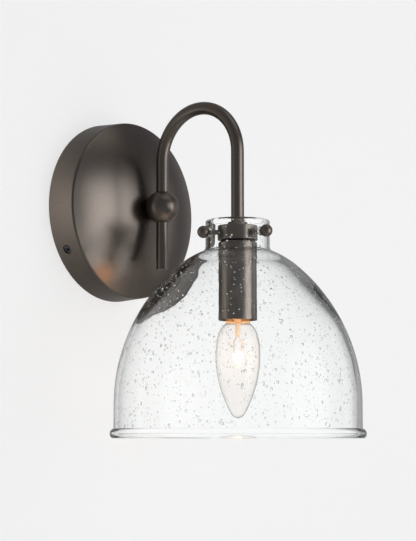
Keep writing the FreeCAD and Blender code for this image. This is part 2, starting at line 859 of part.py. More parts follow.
def make_holder_yoke():
    """C-shaped strap that hangs the lamp holder under the arm's nut."""
    body = new_body("holder_yoke")
    thick = cell.yoke_sheet
    back = cell.yoke_reach
    sketch = new_sketch(body, "YZ_Plane", "yoke_section")
    trace(sketch,
          (-cell.yoke_front, cup_ceiling), (-cell.yoke_front, cup_ceiling - thick),
          (back - thick, cup_ceiling - thick), (back - thick, holder_top + thick),
          (cell.yoke_foot, holder_top + thick), (cell.yoke_foot, holder_top),
          (back, holder_top), (back, cup_ceiling))
    pad(body, sketch, "yoke_blank", cell.yoke_half_width * 2, symmetric=True)
    hole = new_sketch(body, "XY_Plane", "yoke_hole")
    ring(hole, 0, 0, tube_hole)
    pocket(body, hole, "yoke_piercing", -cup_ceiling + thick * 2)
    screw_hole = new_sketch(body, "XY_Plane", "yoke_screw_hole")
    ring(screw_hole, 0, holder_screw_in, cell.holder_screw_radius + cell.fit_gap)
    raise_sketch(screw_hole, holder_top + thick * 2)
    pocket(body, screw_hole, "yoke_screw_piercing", thick * 3)
    place(body, y=-shade_out)
    return finish(body)


def make_arm_nut():
    body = new_body("arm_nut")
    outline = new_sketch(body, "XY_Plane", "arm_nut_outline")
    hexagon(outline, 0, 0, cell.arm_nut_across)
    ring(outline, 0, 0, tube_hole)
    pad(body, outline, "arm_nut_blank", cell.arm_nut_height)
    place(body, y=-shade_out, z=cup_ceiling - cell.yoke_sheet - cell.arm_nut_height)
    return finish(body)


def make_holder_screw():
    seat = holder_top + cell.yoke_sheet
    body = turned("holder_screw",
                  (0, seat - cell.holder_screw_length),
                  (cell.holder_screw_radius, seat - cell.holder_screw_length),
                  (cell.holder_screw_radius, seat),
                  (cell.holder_screw_head_radius, seat),
                  (cell.holder_screw_head_radius, seat + cell.holder_screw_head_height / 2),
                  (cell.holder_screw_head_radius - cell.holder_screw_head_height / 2,
                   seat + cell.holder_screw_head_height),
                  (0, seat + cell.holder_screw_head_height))
    place(body, y=holder_screw_in - shade_out)
    return finish(body)


def make_lamp_holder():
    """Moulded insulator with a bore for the screw shell, wire pits and a tapped hole on top."""
    roof = contact_top + cell.tab_thickness + cell.fit_gap * 2
    body = turned("lamp_holder",
                  (0, holder_top), (0, roof), (holder_bore, roof), (holder_bore, holder_bottom),
                  (cell.holder_radius, holder_bottom), (cell.holder_radius, holder_top))
    pits = new_sketch(body, "XY_Plane", "holder_pits")
    for side in (-1, 1):
        ring(pits, cell.lead_spacing * side / 2, 0, cell.lead_radius + cell.fit_gap)
    raise_sketch(pits, holder_top)
    pocket(body, pits, "holder_pit_drilling", cell.holder_pit_depth)
    tapped = new_sketch(body, "XY_Plane", "holder_tapping_outline")
    ring(tapped, 0, holder_screw_in, cell.holder_screw_radius + cell.fit_gap)
    raise_sketch(tapped, holder_top)
    pocket(body, tapped, "holder_tapping", cell.holder_screw_length)
    return finish(body)


def make_screw_shell():
    return finish(turned("screw_shell",
                         (shell_radius, holder_bottom + cell.fit_gap),
                         (shell_radius + cell.shell_wall, holder_bottom + cell.fit_gap),
                         (shell_radius + cell.shell_wall, base_top + cell.fit_gap),
                         (shell_radius, base_top + cell.fit_gap)))


def make_contact_tab():
    roof = contact_top + cell.tab_thickness + cell.fit_gap
    return finish(turned("contact_tab",
                         (0, roof - cell.tab_thickness), (cell.tab_radius, roof - cell.tab_thickness),
                         (cell.tab_radius, roof), (0, roof)))


# Glass bell and thumb screws

def make_glass_shade():
    """Blown bell with a straight neck, a tall dome of two tangent arcs and a beaded rim."""
    wall = cell.glass_wall
    lip = wall / 2
    crown, side = cell.crown_radius, side_curve
    # where the crown's arc meets the side's arc, as shares of the line between their centres
    across = side - cell.dome_radius
    up = crown_centre - dome_level
    span = side - crown
    join_out, join_in = crown * across / span, (crown - wall) * across / span
    join_high, join_low = crown * up / span, (crown - wall) * up / span
    # bead: an arc proud of the wall, cut flat by the rim
    bead_x = cell.dome_radius + cell.bead_reach - cell.bead_radius
    bead_y = rim_level + cell.bead_height
    bead_top = bead_y + far_side(cell.bead_radius, cell.dome_radius - bead_x)
    bead_foot = bead_x + far_side(cell.bead_radius, cell.bead_height)
    inner = cell.dome_radius - wall
    body = turned("glass_shade",
                  (0, crown_centre + crown, Bend(crown, False)),
                  (join_out, crown_centre + join_high, Bend(side, False)),
                  (cell.dome_radius, dome_level),
                  (cell.dome_radius, bead_top, Bend(cell.bead_radius, False)),
                  (bead_x + cell.bead_radius, bead_y, Bend(cell.bead_radius, False)),
                  (bead_foot, rim_level),
                  (inner + lip, rim_level, Bend(lip, False)),
                  (inner, rim_level + lip),
                  (inner, dome_level, Bend(side - wall, True)),
                  (join_in, crown_centre + join_low, Bend(crown - wall, True)),
                  (0, crown_centre + crown - wall))
    cap = new_sketch(body, "XY_Plane", "neck_bore_outline")
    ring(cap, 0, 0, neck_bore)
    raise_sketch(cap, neck_top)
    pocket(body, cap, "neck_boring", neck_top - crown_centre)
    neck = new_sketch(body, "XZ_Plane", "neck_section")
    foot = crown_centre + far_side(crown - lip, cell.neck_radius - lip)
    trace(neck,
          (neck_bore, foot), (neck_bore, neck_top - lip, Bend(lip, False)),
          (neck_bore + lip, neck_top, Bend(lip, False)),
          (cell.neck_radius, neck_top - lip), (cell.neck_radius, foot))
    revolve(body, neck, "neck_turning")
    round_edge(body, "shoulder", cell.neck_radius, cell.shoulder_round, axis=UP)
    radial_hole(body, "neck_hole", knob_level, cell.knob_hole_radius,
                cell.neck_radius + cell.overrun)
    return finish(body)


def turn_to_station(body, number):
    angle = FULL_TURN / SIZES["knob_count"] * (number - 1)
    place(body, y=-shade_out, z=knob_level, angle=angle)
    return finish(body)


def make_knob(number):
    """Thumb screw: a ball head on a threaded shank."""
    body = new_body("knob_screw_%d" % number)
    neck = far_side(cell.knob_ball_radius, cell.knob_shank_radius)
    curve = Bend(cell.knob_ball_radius, True)
    sketch = new_sketch(body, "XY_Plane", "knob_section_%d" % number)
    trace(sketch,
          (0, -cell.knob_tip_radius), (0, -knob_out - cell.knob_ball_radius, curve),
          (cell.knob_ball_radius, -knob_out, curve), (cell.knob_shank_radius, -knob_out + neck),
          (cell.knob_shank_radius, -cell.knob_tip_radius))
    revolve(body, sketch, "knob_turning_%d" % number)
    return turn_to_station(body, number)


def make_sleeve(number):
    """Soft bush round the shank, in the hole of the glass neck."""
    body = new_body("knob_sleeve_%d" % number)
    bore = cell.knob_shank_radius + cell.fit_gap
    front = knob_out - far_side(cell.knob_ball_radius, bore) - cell.fit_gap
    back = neck_bore - cell.sleeve_overlap
    outer = cell.knob_hole_radius - cell.ball_gap
    sketch = new_sketch(body, "XY_Plane", "sleeve_section_%d" % number)
    trace(sketch, (bore, -back), (bore, -front), (outer, -front), (outer, -back))
    revolve(body, sketch, "sleeve_turning_%d" % number)
    return turn_to_station(body, number)


# Bulb

# corners of the outline from neck to tip, as shares of the bulb's radius and length; the arc that
# leaves each corner has its radius as a share of the length, and its centre outside the bulb where
# the outline flares
bulb_outline_shares = (
    (0.551, 0.135, 0.184, False),
    (0.874, 0.227, 0.737, False),
    (1.0, 0.418, 1.117, False),
    (0.323, 0.9545, 0.0774, False),
)
bulb_neck_share = 0.031
bulb_flare_share = 0.111


def bulb_level(down):
    return bulb_top - down


def bulb_outline(inset, first, last):
    """The outline from the neck down to the tip, set in by the wall for the inner one."""
    length = cell.bulb_length
    neck = cell.base_radius - cell.base_wall - cell.fit_gap - inset
    rows = [(neck, first),
            (neck, bulb_level(length * bulb_neck_share), Bend(length * bulb_flare_share + inset, True))]
    for out, down, curve, left in bulb_outline_shares:
        rows.append((cell.bulb_radius * out - inset, bulb_level(length * down),
                     Bend(length * curve - inset, left)))
    return rows + [(ZERO, last), (ZERO, first)]


def make_bulb_glass():
    """Candle bulb, blunt at the tip, open at the neck where the base grips it."""
    body = new_body("bulb_glass")
    tip = bulb_level(cell.bulb_length)
    outside = new_sketch(body, "XZ_Plane", "bulb_outside")
    trace(outside, *bulb_outline(ZERO, bulb_top, tip))
    revolve(body, outside, "bulb_blowing")
    inside = new_sketch(body, "XZ_Plane", "bulb_inside")
    trace(inside, *bulb_outline(cell.bulb_wall, bulb_top + cell.overrun, tip + cell.bulb_wall))
    revolve(body, inside, "bulb_hollow", kind="Groove")
    place(body, y=-shade_out)
    return finish(body)


def make_bulb_base():
    """Screw base: a thin cup that grips the glass neck."""
    outer = cell.base_radius
    inner = outer - cell.base_wall
    step = cell.insulator_top_radius
    return finish(turned("bulb_base",
                         (outer, base_bottom), (outer, base_top - cell.base_wall * 2),
                         (outer - cell.base_wall * 2, base_top), (step, base_top),
                         (step, base_top - cell.base_wall), (inner, base_top - cell.base_wall * 3),
                         (inner, base_bottom)))


def make_bulb_insulator():
    top = base_top + cell.insulator_height
    return finish(turned("bulb_insulator",
                         (0, base_top - cell.base_wall), (cell.insulator_top_radius - cell.fit_gap,
                                                          base_top - cell.base_wall),
                         (cell.insulator_top_radius - cell.fit_gap, base_top),
                         (cell.insulator_top_radius + cell.base_wall, base_top),
                         (cell.contact_radius, top), (0, top)))


def make_bulb_contact():
    low = base_top + cell.insulator_height
    curve = (square(cell.contact_radius) + square(cell.contact_height)) / (cell.contact_height * 2)
    return finish(turned("bulb_contact",
                         (0, low), (cell.contact_radius, low, Bend(curve, True)), (0, contact_top)))


def make_bulb_stem():
    """Glass stem that carries the filament's supports."""
    low = bulb_level(cell.stem_height)
    high = bulb_level(ZERO)
    waist = bulb_level(cell.stem_height / 2)
    return finish(turned("bulb_stem",
                         (0, low), (cell.stem_radius, low), (cell.stem_radius, waist),
                         (cell.stem_flare, high), (0, high)))


def rod_between(first, last, radius):
    """A straight round rod with its ends at two points."""
    run = last.sub(first)
    return Part.makeCylinder(radius, run.Length, first, run)


def make_bulb_supports():
    """Two wires that leave the stem and hold the filament's ends."""
    radius = SIZES["support_radius"]
    out = SIZES["stem_radius"] / 2
    spread_out = SIZES["support_spread"]
    low = bulb_level(cell.stem_height).number
    elbow = bulb_level((cell.stem_height * 2 + cell.support_height) / 3).number
    end = bulb_level(cell.support_height).number
    solids = []
    for side in (-1, 1):
        foot = FreeCAD.Vector(side * out, 0, low - radius)
        knee = FreeCAD.Vector(side * spread_out, 0, elbow)
        tip = FreeCAD.Vector(side * spread_out, 0, end)
        wire = rod_between(foot, knee, radius).fuse(Part.makeSphere(radius, knee))
        solids.append(wire.fuse(rod_between(knee, tip, radius)).removeSplitter())
    piece = doc.addObject("Part::Feature", "bulb_supports")
    piece.Label = "bulb_supports"
    piece.Shape = Part.Compound(solids)
    place(piece, y=-shade_out)
    return finish(piece)


def make_filament():
    """Coil between the supports, bowed down."""
    radius = SIZES["filament_radius"]
    half = SIZES["support_spread"] - SIZES["support_radius"] - radius
    bow = SIZES["filament_bow"]
    level = bulb_level(cell.support_height).number + radius * 2
    ends = [FreeCAD.Vector(side * half, 0, level) for side in (-1, 1)]
    middle = FreeCAD.Vector(0, 0, level - bow)
    arc = Part.Arc(ends[0], middle, ends[1]).toShape()
    path = Part.Wire([arc])
    heading = arc.tangentAt(arc.FirstParameter)
    profile = Part.Wire([Part.Circle(ends[0], heading, radius).toShape()])
    piece = doc.addObject("Part::Feature", "filament")
    piece.Label = "filament"
    piece.Shape = path.makePipeShell([profile], True, False)
    place(piece, y=-shade_out)
    return finish(piece)


# Leads

def bent_path(points, radii):
    """Straight runs through the points, joined by tangent arcs of the radii."""
    edges = []
    here = points[0]
    for index, radius in enumerate(radii, start=1):
        corner = points[index]
        back = points[index - 1].sub(corner).normalize()
        ahead = points[index + 1].sub(corner).normalize()
        half_angle = back.getAngle(ahead) / 2
        trim = radius / math.tan(half_angle)
        enter = corner.add(FreeCAD.Vector(back).multiply(trim))
        leave = corner.add(FreeCAD.Vector(ahead).multiply(trim))
        inward = back.add(ahead).normalize()
        centre = corner.add(FreeCAD.Vector(inward).multiply(radius / math.sin(half_angle)))
        middle = centre.sub(inward.multiply(radius))
        if here.distanceToPoint(enter) > radius * TOLERANCE_SHARE:
            edges.append(Part.LineSegment(here, enter).toShape())
        edges.append(Part.Arc(enter, middle, leave).toShape())
        here = leave
    edges.append(Part.LineSegment(here, points[-1]).toShape())
    return Part.Wire(edges)


# how far a bent wire's volume may lie from its section times its length, as a share
VOLUME_SHARE = 0.01


def make_lead(label, path, radius):
    """Round wire along a path; its volume is compared with its section times its length."""
    first = path.Edges[0]
    start = first.valueAt(first.FirstParameter)
    heading = first.tangentAt(first.FirstParameter)
    profile = Part.Wire([Part.Circle(start, heading, radius).toShape()])
    solid = path.makePipeShell([profile], True, False)
    expected = math.pi * radius ** 2 * path.Length
    if abs(solid.Volume / expected - 1) > VOLUME_SHARE:
        raise RuntimeError("%s: volume %.1f, expected %.1f" % (label, solid.Volume, expected))
    print("%s: %.0f mm long" % (label, path.Length))
    piece = doc.addObject("Part::Feature", label)
    piece.Label = label
    piece.Shape = solid
    piece.Placement = FreeCAD.Placement()
    return finish(piece)


def make_supply_lead(label, side):
    """Lead from the lamp holder up the arm, through the ball and the nipple, to its connector."""
    x = side * SIZES["lead_spacing"] / 2
    lamp_y, hub_y = -shade_out.number, -hub_out.number
    top = SIZES["arm_rise"]
    turn = SIZES["arm_bend_radius"]
    pit = holder_top.number - SIZES["holder_pit_depth"] + SIZES["fit_gap"]
    splay_y = -SIZES["lead_splay_depth"]
    reach = side * SIZES["lead_splay_reach"]
    points = [(x, lamp_y, pit), (x, lamp_y, top + turn), (x, hub_y, top + turn), (x, hub_y, 0),
              (x, splay_y, 0), (reach, splay_y, 0)]
    points = [FreeCAD.Vector(*point) for point in points]
    radii = [turn, turn, SIZES["lead_turn_radius"], SIZES["lead_splay_radius"]]
    return make_lead(label, bent_path(points, radii), SIZES["lead_radius"])


def make_connector(label, side):
    """Twist-on cap over the end of a supply lead."""
    body = new_body(label)
    length = cell.cap_length
    sketch = new_sketch(body, "XZ_Plane", label + "_section")
    edge = cell.cap_end_radius / 3
    trace(sketch,
          (cell.cap_bore_radius, 0), (cell.cap_mouth_radius, 0),
          (cell.cap_end_radius, length - edge, Bend(edge * math.sqrt(2), True)),
          (cell.cap_end_radius - edge, length), (0, length), (0, cell.cap_bore_depth),
          (cell.cap_throat_radius, cell.cap_bore_depth),
          (cell.cap_throat_radius, cell.cap_bore_depth / 3))
    revolve(body, sketch, label + "_moulding")
    place(body, x=cell.cap_start * side, y=-cell.lead_splay_depth, axis=INTO_WALL,
          angle=QUARTER_TURN * side)
    return finish(body)


# where the ground wire's hook starts, is halfway and ends, round its screw
hook_angles = (0, -125, -250)


def make_ground_lead():
    """Bare wire from the lug to a hook under the ground screw's head."""
    radius = SIZES["ground_wire_radius"]
    turn = SIZES["ground_wire_turn"]
    start_y = (lug_barrel_in - hub_washer_back + cell.lug_thickness).number
    run_y = -(SIZES["bracket_sheet"] + SIZES["ground_boss_height"] + radius + SIZES["fit_gap"])
    hook = SIZES["ground_screw_radius"] + radius + SIZES["fit_gap"]
    screw = -SIZES["ground_screw_drop"]
    start_z = -SIZES["lug_reach"] - SIZES["fit_gap"]
    points = [(0, start_y, start_z), (0, start_y, -SIZES["ground_wire_bend_drop"]),
              (hook, run_y, -SIZES["ground_wire_run_drop"]), (hook, run_y, screw)]
    path = bent_path([FreeCAD.Vector(*point) for point in points], [turn, turn])
    centre = FreeCAD.Vector(0, run_y, screw)
    edges = path.Edges
    for start, end in zip(hook_angles, hook_angles[1:]):
        stops = [centre + FreeCAD.Vector(math.cos(math.radians(angle)), 0,
                                         math.sin(math.radians(angle))) * hook
                 for angle in (start, (start + end) / 2, end)]
        edges.append(Part.Arc(*stops).toShape())
    return make_lead("ground_lead", Part.Wire(edges), radius)


# Assembly

make_mounting_plate()
make_ground_screw()
make_canopy()
for station in range(1, SIZES["bracket_tab_count"] + 1):
    make_side_screw(station)
make_hub_ball()
make_hub_nipple()
make_hub_washer()
make_ground_lug()
make_hub_nut()
make_arm_tube()
make_tail_rod()
make_tube_collar()
make_gallery()
make_socket_cup()
make_holder_yoke()
make_arm_nut()
make_holder_screw()
make_lamp_holder()
make_screw_shell()
make_contact_tab()
make_glass_shade()
for station in range(1, SIZES["knob_count"] + 1):
    make_sleeve(station)
    make_knob(station)
make_bulb_base()
make_bulb_insulator()
make_bulb_contact()
make_bulb_glass()
make_bulb_stem()
make_bulb_supports()
make_filament()
for lead_name, cap_name, hand in (("live_lead", "live_connector", -1),
                                  ("neutral_lead", "neutral_connector", 1)):
    make_supply_lead(lead_name, hand)
    make_connector(cap_name, hand)
make_ground_lead()

doc.recompute()
faults = [thing.Label for thing in doc.Objects
          if "Invalid" in thing.State or "Error" in thing.State]
faults += [piece.Label for piece in parts if piece.Shape.isNull() or not piece.Shape.isValid()]
if faults:
    raise RuntimeError("not sound: " + ", ".join(faults))
os.makedirs("parts", exist_ok=True)
for piece in parts:
    piece.Shape.exportStep(os.path.join("parts", piece.Label + ".step"))
    print("%-20s %9.1f mm3, %d solid" % (piece.Label, piece.Shape.Volume, len(piece.Shape.Solids)))
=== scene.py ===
import json
import math

import bmesh
import bpy
from mathutils import Matrix, Vector

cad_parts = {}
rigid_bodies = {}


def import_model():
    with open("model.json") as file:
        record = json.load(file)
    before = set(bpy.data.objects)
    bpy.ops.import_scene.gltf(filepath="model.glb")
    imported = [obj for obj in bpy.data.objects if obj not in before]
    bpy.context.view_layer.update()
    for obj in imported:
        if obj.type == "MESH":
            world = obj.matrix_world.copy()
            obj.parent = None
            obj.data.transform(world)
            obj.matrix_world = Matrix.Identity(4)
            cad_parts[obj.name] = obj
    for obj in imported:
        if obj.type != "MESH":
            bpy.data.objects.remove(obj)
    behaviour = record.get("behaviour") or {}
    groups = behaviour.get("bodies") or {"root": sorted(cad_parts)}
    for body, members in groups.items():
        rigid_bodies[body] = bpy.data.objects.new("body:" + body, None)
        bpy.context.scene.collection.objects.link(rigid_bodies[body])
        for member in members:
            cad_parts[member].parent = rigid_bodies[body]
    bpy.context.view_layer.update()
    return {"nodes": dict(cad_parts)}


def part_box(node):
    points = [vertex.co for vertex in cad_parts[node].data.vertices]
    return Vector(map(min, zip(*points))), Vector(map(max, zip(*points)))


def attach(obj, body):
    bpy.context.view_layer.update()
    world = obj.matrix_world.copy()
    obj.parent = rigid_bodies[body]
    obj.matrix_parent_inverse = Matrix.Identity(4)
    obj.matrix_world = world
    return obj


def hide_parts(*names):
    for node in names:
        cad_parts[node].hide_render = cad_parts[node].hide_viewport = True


# A wall sconce: satin dark bronze backplate, ball and gooseneck, and a bell of seeded glass held by
# ball-headed thumb screws round a lit candle bulb. The shapes' sizes are in millimetres, as on the solids,
# and the stage and the finishes are in metres. The origin is on the wall, at the backplate's middle.

for leftover in list(bpy.data.objects):
    bpy.data.objects.remove(leftover)
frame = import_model()

MM = 0.001
SHADE_OUT = 129.8  # the bell's axis, out from the wall
RIM_DROP = 180.2
KNOB_LEVEL = -26.95
BULB_TOP = -84.1
FILAMENT_LEVEL = -119.4
SHADE_MIDDLE, KNOB_AXIS = (0, -SHADE_OUT, 0), (0, -SHADE_OUT, KNOB_LEVEL)
SHADE_AXIS = (0, -SHADE_OUT * MM, 0)  # in metres, as the next
FILAMENT_PLACE = (0, -SHADE_OUT * MM, FILAMENT_LEVEL * MM)


# Camera, at the photograph's place

PHOTO_LONG_SIDE = 541
FOCAL_PIXELS = 1595.33
MM_PER_PIXEL = 0.7470588  # at the rim's distance
RIM_RIGHT_PIXELS = 0.62  # how far right the rim's middle is of the picture's


def make_camera():
    wall_angle, yaw, pitch = (math.radians(angle) for angle in (50.96, -1.05, 6.0))
    across = Vector((math.cos(wall_angle), -math.sin(wall_angle), 0))
    ahead = Vector((math.sin(wall_angle), math.cos(wall_angle), 0))
    level_look = ahead * math.cos(yaw) + across * math.sin(yaw)
    look = level_look * math.cos(pitch) + Vector((0, 0, math.sin(pitch)))
    rim_middle = Vector((0, -SHADE_OUT, -RIM_DROP))
    back = (across * RIM_RIGHT_PIXELS + ahead * FOCAL_PIXELS) * MM_PER_PIXEL
    camera = bpy.data.objects.new("camera", bpy.data.cameras.new("camera"))
    bpy.context.collection.objects.link(camera)
    camera.location = (rim_middle - back) * MM
    camera.rotation_mode = "QUATERNION"
    camera.rotation_quaternion = look.to_track_quat("-Z", "Y")
    camera.data.sensor_width = 36
    camera.data.lens = camera.data.sensor_width * FOCAL_PIXELS / PHOTO_LONG_SIDE
    camera.data.clip_start, camera.data.clip_end = 0.01, 60
    bpy.context.scene.camera = camera


make_camera()
bpy.context.scene.view_settings.view_transform = "Standard"


# Node trees

class Wire:
    """A socket that can stand in a sum; each operator adds a Math node."""

    def __init__(self, finish, socket):
        self.finish = finish
        self.socket = socket

    def maths(self, operation, *values):
        return self.finish.maths(operation, *values)

    def __add__(self, other):
        return self.maths("ADD", self, other)

    def __radd__(self, other):
        return self.maths("ADD", other, self)

    def __sub__(self, other):
        return self.maths("SUBTRACT", self, other)

    def __rsub__(self, other):
        return self.maths("SUBTRACT", other, self)

    def __mul__(self, other):
        return self.maths("MULTIPLY", self, other)

    def __truediv__(self, other):
        return self.maths("DIVIDE", self, other)

    def __pow__(self, other):
        return self.maths("POWER", self, other)

    def __abs__(self):
        return self.maths("ABSOLUTE", self)

    def limit(self):
        """Held between 0 and 1."""
        return self.finish.node("Clamp", {}, {0: self})

    def climb(self, low, reach):
        """0 up to low, then rising to 1 over reach."""
        return ((self - low) / reach).limit()


class Finish:
    """A material, the world or a light, and the nodes it is made of."""

    def __init__(self, name, owner=None):
        self.owner = owner or bpy.data.materials.new(name)
        self.owner.use_nodes = True
        self.tree = self.owner.node_tree
        self.tree.nodes.clear()

    def node(self, kind, settings=None, sockets=None, out=0):
        made = self.tree.nodes.new("ShaderNode" + kind)
        for name, value in (settings or {}).items():
            if name == "stops":
                ramp = made.color_ramp.elements
                while len(ramp) < len(value):
                    ramp.new(0.5)
                for stop, (place, tone) in zip(ramp, value):
                    stop.position, stop.color = place, (tone, tone, tone, 1)
            else:
                setattr(made, name, value)
        for name, value in (sockets or {}).items():
            if isinstance(value, Wire):
                self.tree.links.new(value.socket, made.inputs[name])
            else:
                made.inputs[name].default_value = value
        return Wire(self, made.outputs[out])

    def maths(self, operation, *values):
        return self.node("Math", {"operation": operation}, dict(enumerate(values)))

    def place(self, scale=(1, 1, 1), centre=(0, 0, 0)):
        """Position on the piece in metres, moved so that centre is the origin, then stretched."""
        spot = self.node("TexCoord", out="Object")
        moved = self.node("VectorMath", {"operation": "SUBTRACT"}, {0: spot, 1: centre})
        return self.node("VectorMath", {"operation": "MULTIPLY"}, {0: moved, 1: scale})

    def part(self, axis):
        """One of X, Y and Z of the position on the piece, in metres."""
        return self.node("SeparateXYZ", {}, {0: self.place()}, out=axis)

    def facing(self):
        """0 where a face looks at the eye, 1 at its edge."""
        return self.node("LayerWeight", {}, {"Blend": 0.5}, out="Facing")

    def noise(self, place, scale, detail=2.0, roughness=0.5):
        return self.node("TexNoise", {}, {"Vector": place, "Scale": scale, "Detail": detail,
                                          "Roughness": roughness})

    def ramp(self, value, *stops):
        return self.node("ValToRGB", {"stops": stops}, {0: value})

    def blend(self, share, first, second):
        """A colour between two, by the share of the second."""
        return self.node("Mix", {"data_type": "RGBA"}, {0: share, 6: first, 7: second}, out=2)

    def bump(self, height, depth, strength=1.0):
        return self.node("Bump", {}, {"Height": height, "Distance": depth, "Strength": strength})

    def principled(self, **sockets):
        return self.node("BsdfPrincipled", {},
                         {name.replace("_", " "): value for name, value in sockets.items()})

    def close(self, shader, kind="Material"):
        end = self.tree.nodes.new("ShaderNodeOutput" + kind)
        self.tree.links.new(shader.socket, end.inputs["Surface"])
        return self.owner


def tone(red, green, blue):
    return (red, green, blue, 1.0)


NO_LIGHT, FULL_LIGHT = tone(0, 0, 0), tone(1, 1, 1)


# Stage: a wall and a floor well below, each seen from the sconce's side only, and the lights

PAGE = tone(0.905, 0.905, 0.905)
ROOM = tone(0.20, 0.21, 0.235)
PAST_GLASS = tone(0.80, 0.80, 0.80)
INSIDE_GLASS = tone(0.60, 0.61, 0.61)
METAL_FACES = 4.0  # the glass faces on the way to the metal inside the bell and out again


def ways(finish):
    """Masks for what is seen straight through glass, in a gloss, and by a gloss inside a glass wall."""
    gloss = finish.node("LightPath", out="Glossy Depth").limit()
    faces = finish.node("LightPath", out="Transmission Depth")
    metal_past_glass = 1.0 - abs(faces - METAL_FACES).limit()
    within = gloss * faces.limit() * (1.0 - metal_past_glass)
    through = finish.node("LightPath", out="Is Transmission Ray") * (1.0 - gloss)
    return through, gloss - within, within


def make_world():
    """White where the camera sees it, also through glass, and otherwise a dim grey room."""
    world = bpy.data.worlds.new("studio")
    bpy.context.scene.world = world
    finish = Finish("studio", world)
    through, _, within = ways(finish)
    colour = finish.blend(within, finish.blend(through, ROOM, PAST_GLASS), INSIDE_GLASS)
    colour = finish.blend(finish.node("LightPath", out="Is Camera Ray"), colour, PAGE)
    finish.close(finish.node("Background", {}, {"Color": colour, "Strength": 1.0}), "World")


def flat_sheet(name, corners, material):
    """A four-cornered sheet of the stage."""
    mesh = bpy.data.meshes.new(name)
    mesh.from_pydata([Vector(corner) for corner in corners], [], [(0, 1, 2, 3)])
    sheet = bpy.data.objects.new(name, mesh)
    bpy.context.collection.objects.link(sheet)
    sheet.data.materials.append(material)
    return sheet


def painted(name, shine, rim_shine):
    """Pale paint that glows evenly and takes a light shadow, and isn't there from behind.

    shine makes its glow as metal mirrors it, and rim_shine as the rims of the glass do.
    """
    plain_glow, more_past_glass = 0.69, 0.08
    finish = Finish(name)
    cloud = finish.noise(finish.place(), 3.0)
    paint = finish.node("BsdfDiffuse", {}, {"Color": finish.blend(cloud, tone(0.262, 0.253, 0.243),
                                                                  tone(0.268, 0.259, 0.249))})
    through, mirrored, within = ways(finish)
    level = (mirrored * shine(finish) + within * rim_shine(finish)
             + (1.0 - mirrored - within) * (plain_glow + through * more_past_glass))
    glow = finish.node("Emission", {}, {"Color": finish.blend(level, NO_LIGHT, FULL_LIGHT), "Strength": 1.0})
    front = finish.node("AddShader", {}, {0: paint, 1: glow})
    behind = finish.node("NewGeometry", out="Backfacing")
    clear = finish.node("BsdfTransparent")
    return finish.close(finish.node("MixShader", {}, {0: behind, 1: front, 2: clear}))


def patches_on_wall(finish):
    """The wall is dull in the metal, but for what the canopy's side and the cup's left catch."""
    share = 0.14
    patches = ((-0.11, 0.0, 0.10, 0.045, 0.85), (-0.16, -0.075, 0.06, 0.04, 0.75))
    for across, up, width, height, brightness in patches:
        off_patch = finish.node("VectorMath", {"operation": "LENGTH"}, {
            0: finish.place((1 / width, 0, 1 / height), (across, 0, up))}, out="Value")
        share = finish.maths("EXPONENT", off_patch * off_patch * -1.0) * brightness + share
    return share


def dim_above(finish):
    """What the rims of the glass bend in from the wall: dark from high up, and less light from the right."""
    glow, less_right, less_above, overlap = 0.74, 0.40, 0.60, 0.35
    right = finish.part("X").climb(0.0, 0.4)
    above = finish.part("Z").climb(-0.04, 0.08)
    return glow - right * less_right - above * (less_above - right * overlap)


def speckled(level):
    """A shine about evenly at a level."""
    return lambda finish: finish.noise(finish.place(), 40.0) * 0.1 + level


def make_stage():
    reach, behind, low = 3.0, 0.0006, -0.9
    wall = flat_sheet("wall", [(-reach, behind, -reach), (reach, behind, -reach), (reach, behind, reach),
                               (-reach, behind, reach)],
                      painted("wall_paint", patches_on_wall, dim_above))
    floor = flat_sheet("floor", [(-reach, -reach, low), (reach, -reach, low), (reach, reach, low),
                                 (-reach, reach, low)],
                       painted("floor_paint", speckled(0.2), speckled(0.55)))
    for sheet in (wall, floor):
        sheet.visible_diffuse = False
        sheet.visible_shadow = False


def soft_box(name, direction, distance, width, height, brightness, colour=(1, 1, 1), level=-0.03):
    """A glowing sheet that faces the sconce and fades out to its edges; it can't be seen through glass."""
    finish = Finish(name)
    side = finish.node("VectorMath", {"operation": "MULTIPLY_ADD"}, {
        0: finish.node("TexCoord", out="UV"), 1: (2, 2, 0), 2: (-1, -1, 0)})
    squared = finish.node("VectorMath", {"operation": "MULTIPLY"}, {0: side, 1: side})
    fourth = finish.node("VectorMath", {"operation": "MULTIPLY"}, {0: squared, 1: squared})
    fade = finish.node("VectorMath", {"operation": "LENGTH"}, {0: fourth}, out="Value")
    glow = finish.node("Emission", {}, {
        "Color": finish.blend((1.0 - fade).limit(), NO_LIGHT, tone(*colour)), "Strength": brightness})
    middle = Vector((0, -SHADE_OUT * MM / 2, level))
    away = Vector(direction).normalized()
    across = Vector((0, 0, 1)).cross(away).normalized() * width / 2
    up = away.cross(across).normalized() * height / 2
    spot = middle + away * distance
    clear = finish.node("BsdfTransparent")
    through, _, within = ways(finish)
    lamp = finish.node("MixShader", {}, {0: through + within, 1: glow, 2: clear})
    sheet = flat_sheet(name, [spot - across - up, spot + across - up, spot + across + up,
                              spot - across + up], finish.close(lamp))
    sheet.data.uv_layers.new(name="UVMap")
    for corner, place in zip(sheet.data.uv_layers["UVMap"].data, ((0, 0), (1, 0), (1, 1), (0, 1))):
        corner.uv = place
    sheet.visible_camera = False


def filament_light():
    """The lamp's own light; a gloss inside a glass wall doesn't catch it."""
    glow = bpy.data.lights.new("filament_light", "POINT")
    glow.color, glow.energy, glow.shadow_soft_size = (1.0, 0.38, 0.10), 0.045, 0.0042
    finish = Finish("filament_light", glow)
    _, _, within = ways(finish)
    finish.close(finish.node("Emission", {}, {
        "Color": finish.blend(within, FULL_LIGHT, NO_LIGHT), "Strength": 1.0}), "Light")
    lamp = bpy.data.objects.new("filament_light", glow)
    bpy.context.collection.objects.link(lamp)
    lamp.location = FILAMENT_PLACE
    lamp.visible_diffuse = False


